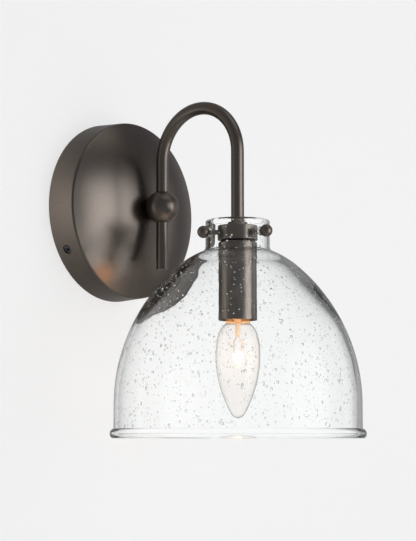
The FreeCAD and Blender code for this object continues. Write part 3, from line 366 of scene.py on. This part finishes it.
def make_lights():
    soft_box("key", (0.24, -0.97, 0.0), distance=1.5, width=1.28, height=1.9, brightness=3.4,
             colour=(0.95, 0.985, 1.04), level=-0.16)
    soft_box("right_fill", (0.90, -0.43, 0.05), distance=1.5, width=0.5, height=1.4, brightness=1.0)
    soft_box("top_fill", (0.1, -0.45, 1.0), distance=1.6, width=1.4, height=1.4, brightness=0.9)
    filament_light()


# Finishes

def satin_bronze(name, stretch=(900, 900, 900), centre=(0, 0, 0), depth=0.00001, polish=0.285, painted_light_gain=1.0,
                 joint=None):
    """Dark bronze plating, satin, with slight clouds and a grain that a stretch turns to brush lines.

    The lower and upper height given last are those of a line of painted shadow, where the finish is left near
    black.
    """
    finish = Finish(name)
    cloud = finish.noise(finish.place(), 26.0)
    grain = finish.noise(finish.place(stretch, centre), 1.0, detail=3.0, roughness=0.6)
    # A painted light gain above 1 makes a lighter copy of the bronze, as painted light.
    dark, light = (tone(*(part * painted_light_gain for part in colour)) for colour in ((0.135, 0.113, 0.095),
                                                                          (0.165, 0.139, 0.118)))
    colour = finish.blend(cloud, dark, light)
    worn = finish.ramp(grain, (0.35, 0.0), (0.75, 0.14))
    colour = finish.blend(worn, colour, tone(0.26, 0.22, 0.19))
    # Painted shadow: a near-black line between the two given heights.
    if joint is not None:
        (low, high), soft, height = joint, 0.0002, finish.part("Z")
        painted_shadow_line = height.climb(low, soft) * ((high - height) / soft).limit()
        colour = finish.blend(painted_shadow_line, colour, tone(0.012, 0.011, 0.011))
    return finish.close(finish.principled(
        Base_Color=colour, Metallic=1.0, Roughness=polish + cloud * 0.05 + grain * 0.06,
        Normal=finish.bump(grain, depth, 0.6)))


def mottled(name, first, second, metallic=0.0, roughness=0.4, grain=300.0, depth=0.00002, coat=0.0):
    """A plain material with its own faint grain and clouds."""
    finish = Finish(name)
    cloud = finish.noise(finish.place(), 60.0)
    fine = finish.noise(finish.place(), grain, detail=3.0)
    return finish.close(finish.principled(
        Base_Color=finish.blend(cloud, first, second), Metallic=metallic,
        Roughness=roughness + fine * 0.12, Normal=finish.bump(fine, depth, 0.5), Coat_Weight=coat))


def let_lamps_through(finish, shader):
    """Glass that stops no lamp, so that what it covers is lit as the rest is."""
    shadow = finish.node("LightPath", out="Is Shadow Ray")
    clear = finish.node("BsdfTransparent", {}, {"Color": tone(0.96, 0.97, 0.965)})
    return finish.node("MixShader", {}, {0: shadow, 1: shader, 2: clear})


def bell_glass():
    """Clear blown glass with a faint grey-green body and slow waves in its faces, and painted shade: grey in
    its edges, its bead's foot and streaks in the crown, and greyer higher up.
    """
    finish = Finish("seeded_glass")
    waves = finish.noise(finish.place(), 42.0, detail=1.5, roughness=0.4)
    ripple = finish.noise(finish.place((1, 1, 0.6)), 190.0, detail=2.0)
    relief = waves * 0.94 + ripple * 0.06
    height = finish.part("Z")
    streaks = (finish.noise(finish.place((1, 1, 2.5)), 60.0, detail=3.0) * 5.0 - 1.0).limit()
    crown = height.climb(-0.105, 0.05) * (1.0 - height.climb(-0.043, 0.004))
    # Painted shade: the glass greys a little higher up.
    painted_shade_above = height.climb(-0.15, 0.09) * 0.14
    body = finish.blend(waves, tone(0.975, 0.985, 0.983), tone(0.985, 0.994, 0.99))
    body = finish.blend(painted_shade_above, body, tone(0.80, 0.81, 0.81))
    facing = finish.facing()
    slanted = facing ** 3.0
    bead_foot = 1.0 - height.climb(-0.1785, 0.002)
    # Painted dark edges and streaks: the colour greys where a face turns from the eye, at the bead's foot,
    # and in streaks in the crown.
    edge = (facing ** 9.0 * 1.4 + bead_foot * slanted + crown * streaks * slanted).limit()
    shader = finish.principled(Base_Color=finish.blend(edge, body, tone(0.30, 0.31, 0.315)), Roughness=0.0,
                               IOR=1.47, Transmission_Weight=1.0, Specular_Tint=tone(0.2, 0.2, 0.2),
                               Normal=finish.bump(relief, 0.0003, 0.5))
    return finish.close(let_lamps_through(finish, shader))


def seed_glass():
    """Air in the glass: it bends light the other way, and a painted dark rim and a painted glint in its
    middle make a bubble dark on light and light on dark.
    """
    finish = Finish("seed_air")
    patch = finish.noise(finish.place(), 500.0)
    facing = finish.facing()
    body = finish.blend(patch, tone(0.9, 0.91, 0.91), FULL_LIGHT)
    # Painted glint: the bubble glows faintly where it faces the eye.
    painted_glint = finish.blend((1.0 - facing) ** 2.0, NO_LIGHT, tone(0.95, 0.98, 1.0))
    # Painted dark rim: the colour darkens where the bubble's face turns from the eye.
    shader = finish.principled(Base_Color=finish.blend(facing, body, tone(0.16, 0.16, 0.165)), Roughness=0.0,
                               IOR=0.68, Transmission_Weight=1.0, Emission_Color=painted_glint,
                               Emission_Strength=0.24)
    return finish.close(let_lamps_through(finish, shader))


def lamp_glass():
    """The bulb's thin glass, with a painted glow: orange-white near the filament and orange in its tinted
    collar, which a dark line ends; its edges are painted grey.
    """
    collar_end, painted_glow_reach = -0.0952, 0.030
    finish = Finish("bulb_glass")
    spot = finish.place()
    height = finish.part("Z")
    away = finish.node("VectorMath", {"operation": "DISTANCE"}, {0: spot, 1: FILAMENT_PLACE}, out="Value")
    near = (1.0 - away / painted_glow_reach).limit() ** 2.0
    collar = height.climb(collar_end, 0.0003)
    line = (1.0 - abs(height - (collar_end - 0.0001)) / 0.0004).limit()
    # Painted glow: orange-white fading out from the filament, and orange in the collar.
    painted_glow = finish.blend(collar, finish.blend(near, NO_LIGHT, tone(0.10, 0.07, 0.045)),
                        tone(0.10, 0.045, 0.012))
    film = finish.noise(spot, 90.0)
    body = finish.blend(collar, finish.blend(film, tone(0.995, 0.972, 0.958), tone(1.0, 0.98, 0.967)),
                        tone(0.84, 0.66, 0.48))
    # Painted grey edges, where the glass turns from the eye.
    body = finish.blend(finish.facing() ** 4.0, body, tone(0.88, 0.87, 0.86))
    body = finish.blend(line, body, tone(0.50, 0.38, 0.30))
    shader = finish.principled(Base_Color=body, Roughness=0.0, IOR=1.45, Transmission_Weight=1.0,
                               Specular_Tint=tone(0.4, 0.4, 0.4), Emission_Color=painted_glow, Emission_Strength=1.0)
    return finish.close(let_lamps_through(finish, shader))


def glowing(name, colour, strength, base=tone(0.9, 0.7, 0.5)):
    """A part that glows: the hot filament, or a painted glow on a part that is only lit, with a slight
    flicker of white in its glow.
    """
    finish = Finish(name)
    flicker = finish.noise(finish.place(), 700.0)
    return finish.close(finish.principled(
        Base_Color=base, Roughness=0.4, Emission_Color=finish.blend(flicker, colour, tone(1, 0.93, 0.8)),
        Emission_Strength=strength))


gallery_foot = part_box("shade_gallery")[0].z
bronze = satin_bronze("bronze_satin")
# The cup's copy of the bronze is painted lighter, and has a painted shadow line at the gallery's foot.
bronze_cup = satin_bronze("bronze_brushed", (14, 14, 1300), SHADE_AXIS, depth=0.000008, polish=0.24,
                          painted_light_gain=1.25, joint=(gallery_foot - 0.0012, gallery_foot + 0.0003))
bronze_canopy = satin_bronze("bronze_spun", (700, 700, 700), depth=0.000006, polish=0.235)
steel = mottled("zinc_plate", tone(0.55, 0.56, 0.57), tone(0.68, 0.68, 0.66), 1.0, 0.32, 900.0)
zinc = mottled("zinc_nuts", tone(0.6, 0.6, 0.58), tone(0.74, 0.73, 0.7), 1.0, 0.28, 700.0)
green = mottled("green_dye", tone(0.02, 0.22, 0.07), tone(0.03, 0.30, 0.11), 0.4, 0.35, 700.0)
black_steel = mottled("black_oxide", tone(0.055, 0.058, 0.064), tone(0.09, 0.092, 0.098), 1.0, 0.27,
                      1500.0)
brass = mottled("shell_brass", tone(0.62, 0.44, 0.2), tone(0.78, 0.58, 0.3), 1.0, 0.3, 800.0)
nickel = mottled("base_nickel", tone(0.6, 0.57, 0.52), tone(0.72, 0.68, 0.62), 1.0, 0.3, 800.0)
copper = mottled("bare_copper", tone(0.62, 0.3, 0.18), tone(0.78, 0.42, 0.27), 1.0, 0.35, 900.0)
black_plastic = mottled("black_lead", tone(0.02, 0.02, 0.02), tone(0.035, 0.035, 0.035), 0.0, 0.5, 400.0)
white_plastic = mottled("white_lead", tone(0.72, 0.71, 0.67), tone(0.8, 0.79, 0.75), 0.0, 0.5, 400.0)
orange_plastic = mottled("orange_cap", tone(0.62, 0.2, 0.03), tone(0.72, 0.26, 0.04), 0.0, 0.45, 350.0)
glazed = mottled("glazed_body", tone(0.74, 0.72, 0.66), tone(0.82, 0.8, 0.75), 0.0, 0.25, 250.0, coat=0.4)
vitrite = mottled("black_vitrite", tone(0.012, 0.012, 0.016), tone(0.03, 0.03, 0.035), 0.0, 0.15, 500.0)
bush = mottled("clear_bush", tone(0.55, 0.53, 0.5), tone(0.66, 0.64, 0.6), 0.0, 0.45, 600.0)


# Meshes

def to_object(name, mesh, material, sharp=35):
    """A finished mesh as an object at the origin, smooth but for its sharp edges."""
    data = bpy.data.meshes.new(name)
    mesh.to_mesh(data)
    mesh.free()
    data.materials.append(material)
    data.shade_smooth()
    data.set_sharp_from_angle(angle=math.radians(sharp))
    piece = bpy.data.objects.new(name, data)
    bpy.context.collection.objects.link(piece)
    return piece


def arc(first, last, radius, left, steps):
    """Points from first up to, not with, last along an arc; left puts its centre left of the way."""
    first, last = Vector(first), Vector(last)
    chord = last - first
    rise = math.sqrt(max(radius ** 2 - (chord.length / 2) ** 2, 0))
    side = 1 if left else -1
    normal = Vector((-chord.y, chord.x)).normalized() * side
    centre = first + chord / 2 + normal * rise
    start = math.atan2(first.y - centre.y, first.x - centre.x)
    sweep = 2 * math.asin(min(chord.length / 2 / radius, 1)) * side
    angles = [start + sweep * k / steps for k in range(steps)]
    return [tuple(centre + Vector((math.cos(angle), math.sin(angle))) * radius) for angle in angles]


def run(first, last, steps):
    """Points from first up to, not with, last along a straight line."""
    return [tuple(Vector(first).lerp(Vector(last), k / steps)) for k in range(steps)]


def lathe(outline, around=96):
    """A closed section, distance from the axis and height, turned about Z; in millimetres."""
    mesh = bmesh.new()
    rings = []
    for radius, height in outline:
        count = around if radius > 1e-6 else 1
        rings.append([mesh.verts.new((radius * math.cos(2 * math.pi * k / around),
                                      radius * math.sin(2 * math.pi * k / around), height))
                      for k in range(count)])
    for near, far in zip(rings, rings[1:] + rings[:1]):
        if len(near) == len(far) == 1:
            continue
        for k in range(around):
            ahead = (k + 1) % around
            corners = [near[k % len(near)], near[ahead % len(near)], far[ahead % len(far)], far[k % len(far)]]
            mesh.faces.new(list(dict.fromkeys(corners)))
    bmesh.ops.recalc_face_normals(mesh, faces=mesh.faces)
    return mesh


def put(mesh, axis=(0, 0, 1), place=(0, 0, 0)):
    """Scale a mesh made in millimetres to metres, with its Z along an axis from a place."""
    turn = Vector((0, 0, 1)).rotation_difference(Vector(axis)).to_matrix().to_4x4()
    mesh.transform(Matrix.Scale(MM, 4) @ Matrix.Translation(Vector(place)) @ turn)
    return mesh


def settle(piece):
    """Keep what the modifiers make and take them off."""
    seen = piece.evaluated_get(bpy.context.evaluated_depsgraph_get())
    old = piece.data
    piece.data = bpy.data.meshes.new_from_object(seen)
    piece.modifiers.clear()
    bpy.data.meshes.remove(old)


def cut(piece, cutters):
    """Take cutters out of a piece and drop them."""
    for cutter in cutters:
        modifier = piece.modifiers.new("cut", "BOOLEAN")
        modifier.object = cutter
        modifier.solver = "EXACT"
        settle(piece)
        bpy.data.objects.remove(cutter)


def seat(piece, body, slot, *nodes):
    """Let a piece ride a body, and replace the solids it is drawn for."""
    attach(piece, body)
    if nodes:
        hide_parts(*nodes)


def station(number):
    """The way out of a thumb screw from the shade's axis."""
    angle = math.radians(-90 + 120 * (number - 1))
    return Vector((math.cos(angle), math.sin(angle), 0))


# Geometry node trees for threads and seeds

class Sketch:
    """A geometry node tree: a mesh and named sizes in, a mesh with its material out."""

    def __init__(self, name, **sizes):
        self.tree = bpy.data.node_groups.new(name, "GeometryNodeTree")
        interface = self.tree.interface
        interface.new_socket("Geometry", in_out="INPUT", socket_type="NodeSocketGeometry")
        for label, kind in sizes.items():
            interface.new_socket(label, in_out="INPUT", socket_type="NodeSocket" + kind)
        interface.new_socket("Geometry", in_out="OUTPUT", socket_type="NodeSocketGeometry")
        self.given = self.tree.nodes.new("NodeGroupInput")
        self.result = self.tree.nodes.new("NodeGroupOutput")

    def node(self, kind, settings=None, sockets=None):
        made = self.tree.nodes.new(kind)
        for name, value in (settings or {}).items():
            setattr(made, name, value)
        for name, value in (sockets or {}).items():
            if isinstance(value, bpy.types.NodeSocket):
                self.tree.links.new(value, made.inputs[name])
            else:
                made.inputs[name].default_value = value
        return made

    def sum(self, operation, *values):
        return self.node("ShaderNodeMath", {"operation": operation}, dict(enumerate(values))).outputs[0]

    def size(self, label):
        return self.given.outputs[label]

    def close(self, geometry, material):
        realized = self.node("GeometryNodeRealizeInstances", {}, {"Geometry": geometry})
        painted = self.node("GeometryNodeSetMaterial", {}, {"Geometry": realized.outputs[0],
                                                            "Material": material})
        self.tree.links.new(painted.outputs[0], self.result.inputs[0])
        return self.tree


def apply_tree(piece, tree, **sizes):
    """Run a tree on a piece with its inputs set by their identifiers, and keep the mesh."""
    modifier = piece.modifiers.new(tree.name, "NODES")
    modifier.node_group = tree
    for item in tree.interface.items_tree:
        if item.item_type == "SOCKET" and item.in_out == "INPUT" and item.name in sizes:
            modifier[item.identifier] = sizes[item.name]
    settle(piece)


def thread_tree():
    """Press a screw thread into a turned piece that lies along Z, between two heights."""
    sketch = Sketch("screw_thread", Pitch="Float", Depth="Float", Low="Float", High="Float",
                    Finish="Material")
    place = sketch.node("GeometryNodeInputPosition").outputs[0]
    apart = sketch.node("ShaderNodeSeparateXYZ", {}, {0: place}).outputs
    angle = sketch.sum("ARCTAN2", apart["Y"], apart["X"])
    turns = sketch.sum("DIVIDE", apart["Z"], sketch.size("Pitch"))
    phase = sketch.sum("SUBTRACT", sketch.sum("MULTIPLY", turns, 2 * math.pi), angle)
    wave = sketch.sum("MULTIPLY_ADD", sketch.sum("COSINE", phase), -0.5, 0.5)
    runout = sketch.sum("MULTIPLY", sketch.size("Pitch"), 0.5)
    from_low = sketch.sum("DIVIDE", sketch.sum("SUBTRACT", apart["Z"], sketch.size("Low")), runout)
    from_high = sketch.sum("DIVIDE", sketch.sum("SUBTRACT", sketch.size("High"), apart["Z"]), runout)
    inside = sketch.sum("MINIMUM", from_low, from_high)
    share = sketch.node("ShaderNodeClamp", {}, {0: inside}).outputs[0]
    depth = sketch.sum("MULTIPLY", sketch.sum("MULTIPLY", wave, share), sketch.size("Depth"))
    off_axis = sketch.node("ShaderNodeCombineXYZ", {}, {"X": apart["X"], "Y": apart["Y"]}).outputs[0]
    outward = sketch.node("ShaderNodeVectorMath", {"operation": "NORMALIZE"}, {0: off_axis}).outputs[0]
    offset = sketch.node("ShaderNodeVectorMath", {"operation": "SCALE"},
                         {0: outward, "Scale": sketch.sum("MULTIPLY", depth, -1.0)}).outputs[0]
    moved = sketch.node("GeometryNodeSetPosition", {}, {"Geometry": sketch.size("Geometry"),
                                                        "Offset": offset})
    return sketch.close(moved.outputs[0], sketch.size("Finish"))


def seed_tree():
    """Scatter bubbles over the middle of the glass wall, drawn out a little along it, between two heights."""
    size_draw, lean_to_small, drawn_out = 3, 3.4, (1.0, 1.25, 0.8)
    sketch = Sketch("seeds", Per_square_metre="Float", Smallest="Float", Largest="Float", Draw="Int",
                    Low="Float", High="Float", Finish="Material")
    level = sketch.node("ShaderNodeSeparateXYZ", {}, {
        0: sketch.node("GeometryNodeInputPosition").outputs[0]}).outputs[2]
    within = sketch.sum("MULTIPLY", sketch.sum("GREATER_THAN", level, sketch.size("Low")),
                        sketch.sum("LESS_THAN", level, sketch.size("High")))
    spots = sketch.node("GeometryNodeDistributePointsOnFaces", {"distribute_method": "RANDOM"},
                        {"Mesh": sketch.size("Geometry"), "Density": sketch.size("Per_square_metre"),
                         "Seed": sketch.size("Draw")})
    lot = sketch.node("FunctionNodeRandomValue", {"data_type": "FLOAT"}, {"Seed": size_draw}).outputs["Value"]
    share = sketch.sum("POWER", lot, lean_to_small)
    spread = sketch.sum("SUBTRACT", sketch.size("Largest"), sketch.size("Smallest"))
    size = sketch.sum("MULTIPLY_ADD", share, spread, sketch.size("Smallest"))
    drawn = sketch.node("ShaderNodeVectorMath", {"operation": "SCALE"},
                        {0: drawn_out, "Scale": size}).outputs[0]
    ball = sketch.node("GeometryNodeMeshUVSphere", {}, {"Segments": 8, "Rings": 6, "Radius": 1.0})
    placed = sketch.node("GeometryNodeInstanceOnPoints", {}, {
        "Points": spots.outputs["Points"], "Selection": within, "Instance": ball.outputs["Mesh"],
        "Rotation": spots.outputs["Rotation"], "Scale": drawn})
    smooth = sketch.node("GeometryNodeSetShadeSmooth", {}, {"Geometry": placed.outputs[0]})
    return sketch.close(smooth.outputs[0], sketch.size("Finish"))


# Glass bell: a straight neck, a small shoulder, a crown arc, a side arc, a straight skirt and a bead

WALL = 3.4
NECK_RADIUS, NECK_TOP, SHOULDER = 24.2, -17.2, 4.0
DOME_RADIUS, DOME_LEVEL, DOME_HEIGHT = 92.4, -154.8, 119.3
CROWN_RADIUS = 69.6
CROWN_CENTRE = DOME_LEVEL + DOME_HEIGHT - CROWN_RADIUS
SIDE_RADIUS = (DOME_RADIUS ** 2 + DOME_HEIGHT ** 2 - 2 * DOME_HEIGHT * CROWN_RADIUS) \
    / (2 * (DOME_RADIUS - CROWN_RADIUS))
BEAD, BEAD_REACH, BEAD_HEIGHT = 4.0, 2.9, 3.3

# The crown is thicker by EXTRA, which grows between two heights and fades again towards the neck.
EXTRA, EXTRA_FOOT, EXTRA_TOP = 2.2, -101.0, -59.0
EXTRA_NECK, EXTRA_FADE = 24.5, 15.0


def far_side(long_side, short_side):
    """The third side of a right-angled triangle."""
    return math.sqrt(long_side ** 2 - short_side ** 2)


def eased(share):
    share = min(max(share, 0.0), 1.0)
    return share * share * (3 - 2 * share)


def thickened(points):
    """Move the inner face in, for the slightly thicker glass that blowing leaves in the crown."""
    centre, moved = Vector((0, CROWN_CENTRE)), []
    for point in points:
        spot = Vector(point)
        extra = EXTRA * (eased((spot.y - EXTRA_FOOT) / (EXTRA_TOP - EXTRA_FOOT))
                         * eased((spot.x - EXTRA_NECK) / EXTRA_FADE))
        moved.append(tuple(spot + (centre - spot).normalized() * extra))
    return moved


def bell_outline(outer_in=0.0, inner_in=WALL):
    """The bell's closed section; outer_in and inner_in are how far each face lies in from the outside."""
    lip = WALL / 2
    crown, inner_crown = CROWN_RADIUS - outer_in, CROWN_RADIUS - inner_in
    side, inner_side = SIDE_RADIUS - outer_in, SIDE_RADIUS - inner_in
    across, up = SIDE_RADIUS - DOME_RADIUS, CROWN_CENTRE - DOME_LEVEL
    span = SIDE_RADIUS - CROWN_RADIUS
    shoulder = NECK_RADIUS + SHOULDER
    shoulder_up = far_side(CROWN_RADIUS + SHOULDER, shoulder)
    touch, inner_touch = (face / (CROWN_RADIUS + SHOULDER) for face in (crown, inner_crown))
    bore, neck = NECK_RADIUS - inner_in, NECK_RADIUS - outer_in
    dome, inner = DOME_RADIUS - outer_in, DOME_RADIUS - inner_in
    rim = -RIM_DROP
    bead_x, bead_y = DOME_RADIUS + BEAD_REACH - BEAD, rim + BEAD_HEIGHT
    bead_top = bead_y + far_side(BEAD, DOME_RADIUS - bead_x)
    bead_foot = bead_x + far_side(BEAD, BEAD_HEIGHT)
    shoulder_start = (neck, CROWN_CENTRE + shoulder_up)
    shoulder_end = (shoulder * touch, CROWN_CENTRE + shoulder_up * touch)
    join = (crown * across / span, CROWN_CENTRE + crown * up / span)
    inner_join = (inner_crown * across / span, CROWN_CENTRE + inner_crown * up / span)
    inner_start = (bore, CROWN_CENTRE + shoulder_up)
    inner_end = (shoulder * inner_touch, CROWN_CENTRE + shoulder_up * inner_touch)
    return (arc((bore, NECK_TOP - lip), (bore + lip, NECK_TOP), lip, False, 8)
            + arc((bore + lip, NECK_TOP), (neck, NECK_TOP - lip), lip, False, 8)
            + run((neck, NECK_TOP - lip), shoulder_start, 12)
            + arc(shoulder_start, shoulder_end, SHOULDER + outer_in, True, 10)
            + arc(shoulder_end, join, crown, False, 28)
            + arc(join, (dome, DOME_LEVEL), side, False, 64)
            + run((dome, DOME_LEVEL), (dome, bead_top), 10)
            + arc((dome, bead_top), (bead_x + BEAD, bead_y), BEAD, False, 8)
            + arc((bead_x + BEAD, bead_y), (bead_foot, rim), BEAD, False, 6)
            + run((bead_foot, rim), (inner + lip, rim), 2)
            + arc((inner + lip, rim), (inner, rim + lip), lip, False, 6)
            + run((inner, rim + lip), (inner, DOME_LEVEL), 10)
            + thickened(arc((inner, DOME_LEVEL), inner_join, inner_side, True, 64)
                        + arc(inner_join, inner_end, inner_crown, True, 28))
            + arc(inner_end, inner_start, SHOULDER + inner_in, False, 10)
            + run(inner_start, (bore, NECK_TOP - lip), 12))


def knob_holes(radius, material):
    """Cutters for the three holes of the glass neck."""
    near, far = 10, 30
    section = [(0, near), (radius, near), (radius, far), (0, far)]
    return [to_object("hole_%d" % number, put(lathe(section, 48), station(number), KNOB_AXIS), material)
            for number in (1, 2, 3)]


def make_bell():
    """The glass, and the bubbles between its faces, clear of the holes, the lip and the bead."""
    hole, clear_of_hole, first_in, last_in, sharp = 3.5, 5.0, 1.3, 2.1, 40
    glass = bell_glass()
    bell = to_object("glass_bell", put(lathe(bell_outline(), 256), place=SHADE_MIDDLE), glass)
    cut(bell, knob_holes(hole, glass))
    bell.data.set_sharp_from_angle(angle=math.radians(sharp))
    seat(bell, "root", "seeded_glass", "glass_shade")
    carrier = put(lathe(bell_outline(first_in, last_in), 96), place=SHADE_MIDDLE)
    seeds = to_object("glass_seeds", carrier, glass)
    cut(seeds, knob_holes(clear_of_hole, glass))
    apply_tree(seeds, seed_tree(), Per_square_metre=13500.0, Smallest=0.00035, Largest=0.00095, Draw=7,
               Low=-0.1725, High=-0.0194, Finish=seed_glass())
    seat(seeds, "root", "seeded_glass")


make_bell()


# Screws, nipple and bulb base, with threads

screw_thread = thread_tree()


def threaded(name, section, material, around=40, **sizes):
    """A turned piece along Z, in millimetres, with a thread pressed in."""
    piece = to_object(name, lathe(section, around), material)
    apply_tree(piece, screw_thread, Finish=material, **sizes)
    return piece


def stand(piece, axis, place, sharp=35):
    """Move a piece made along Z, in millimetres, to its place on the sconce."""
    mesh = bmesh.new()
    mesh.from_mesh(piece.data)
    put(mesh, axis, place).to_mesh(piece.data)
    mesh.free()
    piece.data.shade_smooth()
    piece.data.set_sharp_from_angle(angle=math.radians(sharp))


def make_thumb_screw(number):
    """Ball-headed screw; tip, thread's end and ball's middle are measured out from the bell's axis."""
    ball, shank, chamfer = 4.65, 1.95, 0.4
    tip, thread_end, reach = 8.5, 23.4, 27.36
    waist = reach - far_side(ball, shank)
    waist_angle, steps = -65.2, 28
    angles = [math.radians(waist_angle + (90 - waist_angle) * k / steps) for k in range(steps)]
    section = ([(0, tip), (shank - chamfer, tip)] + run((shank, tip + chamfer), (shank, waist), 150)
               + [(ball * math.cos(angle), reach + ball * math.sin(angle)) for angle in angles]
               + [(0, reach + ball)])
    knob = threaded("thumb_screw_%d" % number, section, bronze, Pitch=0.7, Depth=0.28, Low=tip + chamfer,
                    High=thread_end)
    stand(knob, station(number), KNOB_AXIS)
    seat(knob, "knob_%d" % number, "bronze", "knob_screw_%d" % number)


def make_side_screw(number):
    """Socket screw that holds the canopy to a tab of the plate; the first one stands straight up."""
    node = "side_screw_%d" % number
    low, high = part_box(node)
    middle = (low + high) / 2
    out = Vector((middle.x, 0, middle.z)).normalized()
    shank, head, head_height, length, chamfer = 2.0, 3.6, 1.6, 9.0, 0.4
    key, key_depth = 1.45, 1.0
    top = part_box("side_screw_1")[1].z / MM
    under = top - head_height
    tip = under - length
    section = ([(0, tip), (shank - chamfer, tip)] + run((shank, tip + chamfer), (shank, under), 70)
               + [(shank, under), (head, under), (head, top - chamfer), (head - chamfer, top), (0, top)])
    screw = threaded("socket_screw_%d" % number, section, black_steel, Pitch=0.7, Depth=0.3,
                     Low=tip + chamfer, High=under - chamfer)
    socket = lathe([(0, top - key_depth), (key, top - key_depth), (key, top + 1), (0, top + 1)], 6)
    cut(screw, [to_object("socket", socket, black_steel)])
    stand(screw, out, (0, middle.y / MM, 0))
    seat(screw, "root", "black_screw", node)


def make_hub_nipple():
    """Hollow threaded tube from the ball back through the canopy."""
    low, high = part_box("hub_nipple")
    back, front = -high.y / MM, -low.y / MM
    outer, bore, chamfer = 4.85, 3.4, 0.4
    section = ([(bore, back), (outer - chamfer, back)]
               + run((outer, back + chamfer), (outer, front - chamfer), 110)
               + [(outer, front - chamfer), (outer - chamfer, front), (bore, front)])
    nipple = threaded("threaded_nipple", section, zinc, 64, Pitch=1.0, Depth=0.45, Low=back + chamfer,
                      High=front - chamfer)
    stand(nipple, (0, -1, 0), (0, 0, 0))
    seat(nipple, "root", "zinc", "hub_nipple")


def make_bulb_base():
    """Thin rolled cup whose thread shows on both its faces."""
    top, wall, hole, steps, plain_foot = -71.8, 0.3, 3.4, 80, 0.5
    outer, inner = 5.95, 5.65
    turn_in = top - wall * 2
    section = (run((outer, BULB_TOP), (outer, turn_in), steps)
               + [(outer, turn_in), (outer - wall * 2, top), (hole, top), (hole, top - wall)]
               + run((inner, turn_in - wall), (inner, BULB_TOP), steps) + [(inner, BULB_TOP)])
    base = threaded("screw_base", section, nickel, 72, Pitch=2.54, Depth=0.5, Low=BULB_TOP + plain_foot,
                    High=turn_in - wall)
    stand(base, (0, 0, 1), SHADE_MIDDLE)
    seat(base, "bulb", "nickel", "bulb_base")


for number in (1, 2, 3):
    make_thumb_screw(number)
    make_side_screw(number)
make_hub_nipple()
make_bulb_base()


# Bulb

BULB_LENGTH, BULB_RADIUS, BULB_WALL = 81.4, 16.7, 0.55

# Where each arc of the candle starts, out as a share of the bulb's radius and down as a share of its length,
# its curve as a share of the length, and its steps. The last arc ends in the tip.
CANDLE_ARCS = ((0.551, 0.135, 0.184, 14), (0.874, 0.227, 0.737, 20), (1.0, 0.418, 1.117, 44),
               (0.323, 0.9545, 0.0774, 12))


def bulb_side(inset):
    """The outline from the neck, over a collar that shows under the cup, down to the tip."""
    neck, collar = 5.6 - inset, 9.0 - inset
    flare_top, flare_end, steps = BULB_TOP - 0.9, BULB_TOP - 4.2, 12
    points = [(neck, BULB_TOP)]
    for k in range(steps + 1):
        share = 0.5 - 0.5 * math.cos(math.pi * k / steps)
        points.append((neck + (collar - neck) * share, flare_top + (flare_end - flare_top) * k / steps))
    tip = (0.0, BULB_TOP - (BULB_LENGTH - inset))
    starts = [(BULB_RADIUS * out - inset, BULB_TOP - down * BULB_LENGTH) for out, down, _, _ in CANDLE_ARCS]
    for first, last, (_, _, curve, count) in zip(starts, starts[1:] + [tip], CANDLE_ARCS):
        points += arc(first, last, curve * BULB_LENGTH - inset, False, count)
    return points + [tip]


def make_bulb():
    """The bulb's glass, as one closed skin of an outer and an inner face."""
    outline = bulb_side(0.0) + bulb_side(BULB_WALL)[::-1]
    bulb = to_object("bulb_envelope", put(lathe(outline, 128), place=SHADE_MIDDLE), lamp_glass())
    seat(bulb, "bulb", "bulb_glass", "bulb_glass")


make_bulb()


# The solids that stay, with their finishes

def paint(material, *names):
    """Give solids a finish."""
    for name in names:
        node = frame["nodes"][name]
        node.data.materials.clear()
        node.data.materials.append(material)


paint(bronze_canopy, "canopy")
paint(bronze, "hub_ball", "arm_tube", "tail_rod", "tube_collar")
paint(bronze_cup, "shade_gallery", "socket_cup")
paint(steel, "mounting_plate", "holder_yoke")
paint(zinc, "hub_washer", "hub_nut", "arm_nut", "holder_screw", "bulb_contact")
paint(green, "ground_screw")
paint(copper, "ground_lug", "ground_lead")
paint(brass, "screw_shell", "contact_tab")
paint(glazed, "lamp_holder")
paint(vitrite, "bulb_insulator")
paint(bush, "knob_sleeve_1", "knob_sleeve_2", "knob_sleeve_3")
paint(black_plastic, "live_lead")
paint(white_plastic, "neutral_lead")
paint(orange_plastic, "live_connector", "neutral_connector")
# The supports and the stem are no lamp: their glow is painted.
paint(glowing("painted_glow_supports", tone(1.0, 0.45, 0.15), 0.3, tone(0.5, 0.4, 0.3)), "bulb_supports")
paint(glowing("painted_glow_stem", tone(1.0, 0.55, 0.25), 0.3), "bulb_stem")
paint(glowing("filament_glow", tone(1.0, 0.80, 0.5), 12.0), "filament")

make_world()
make_stage()
make_lights()
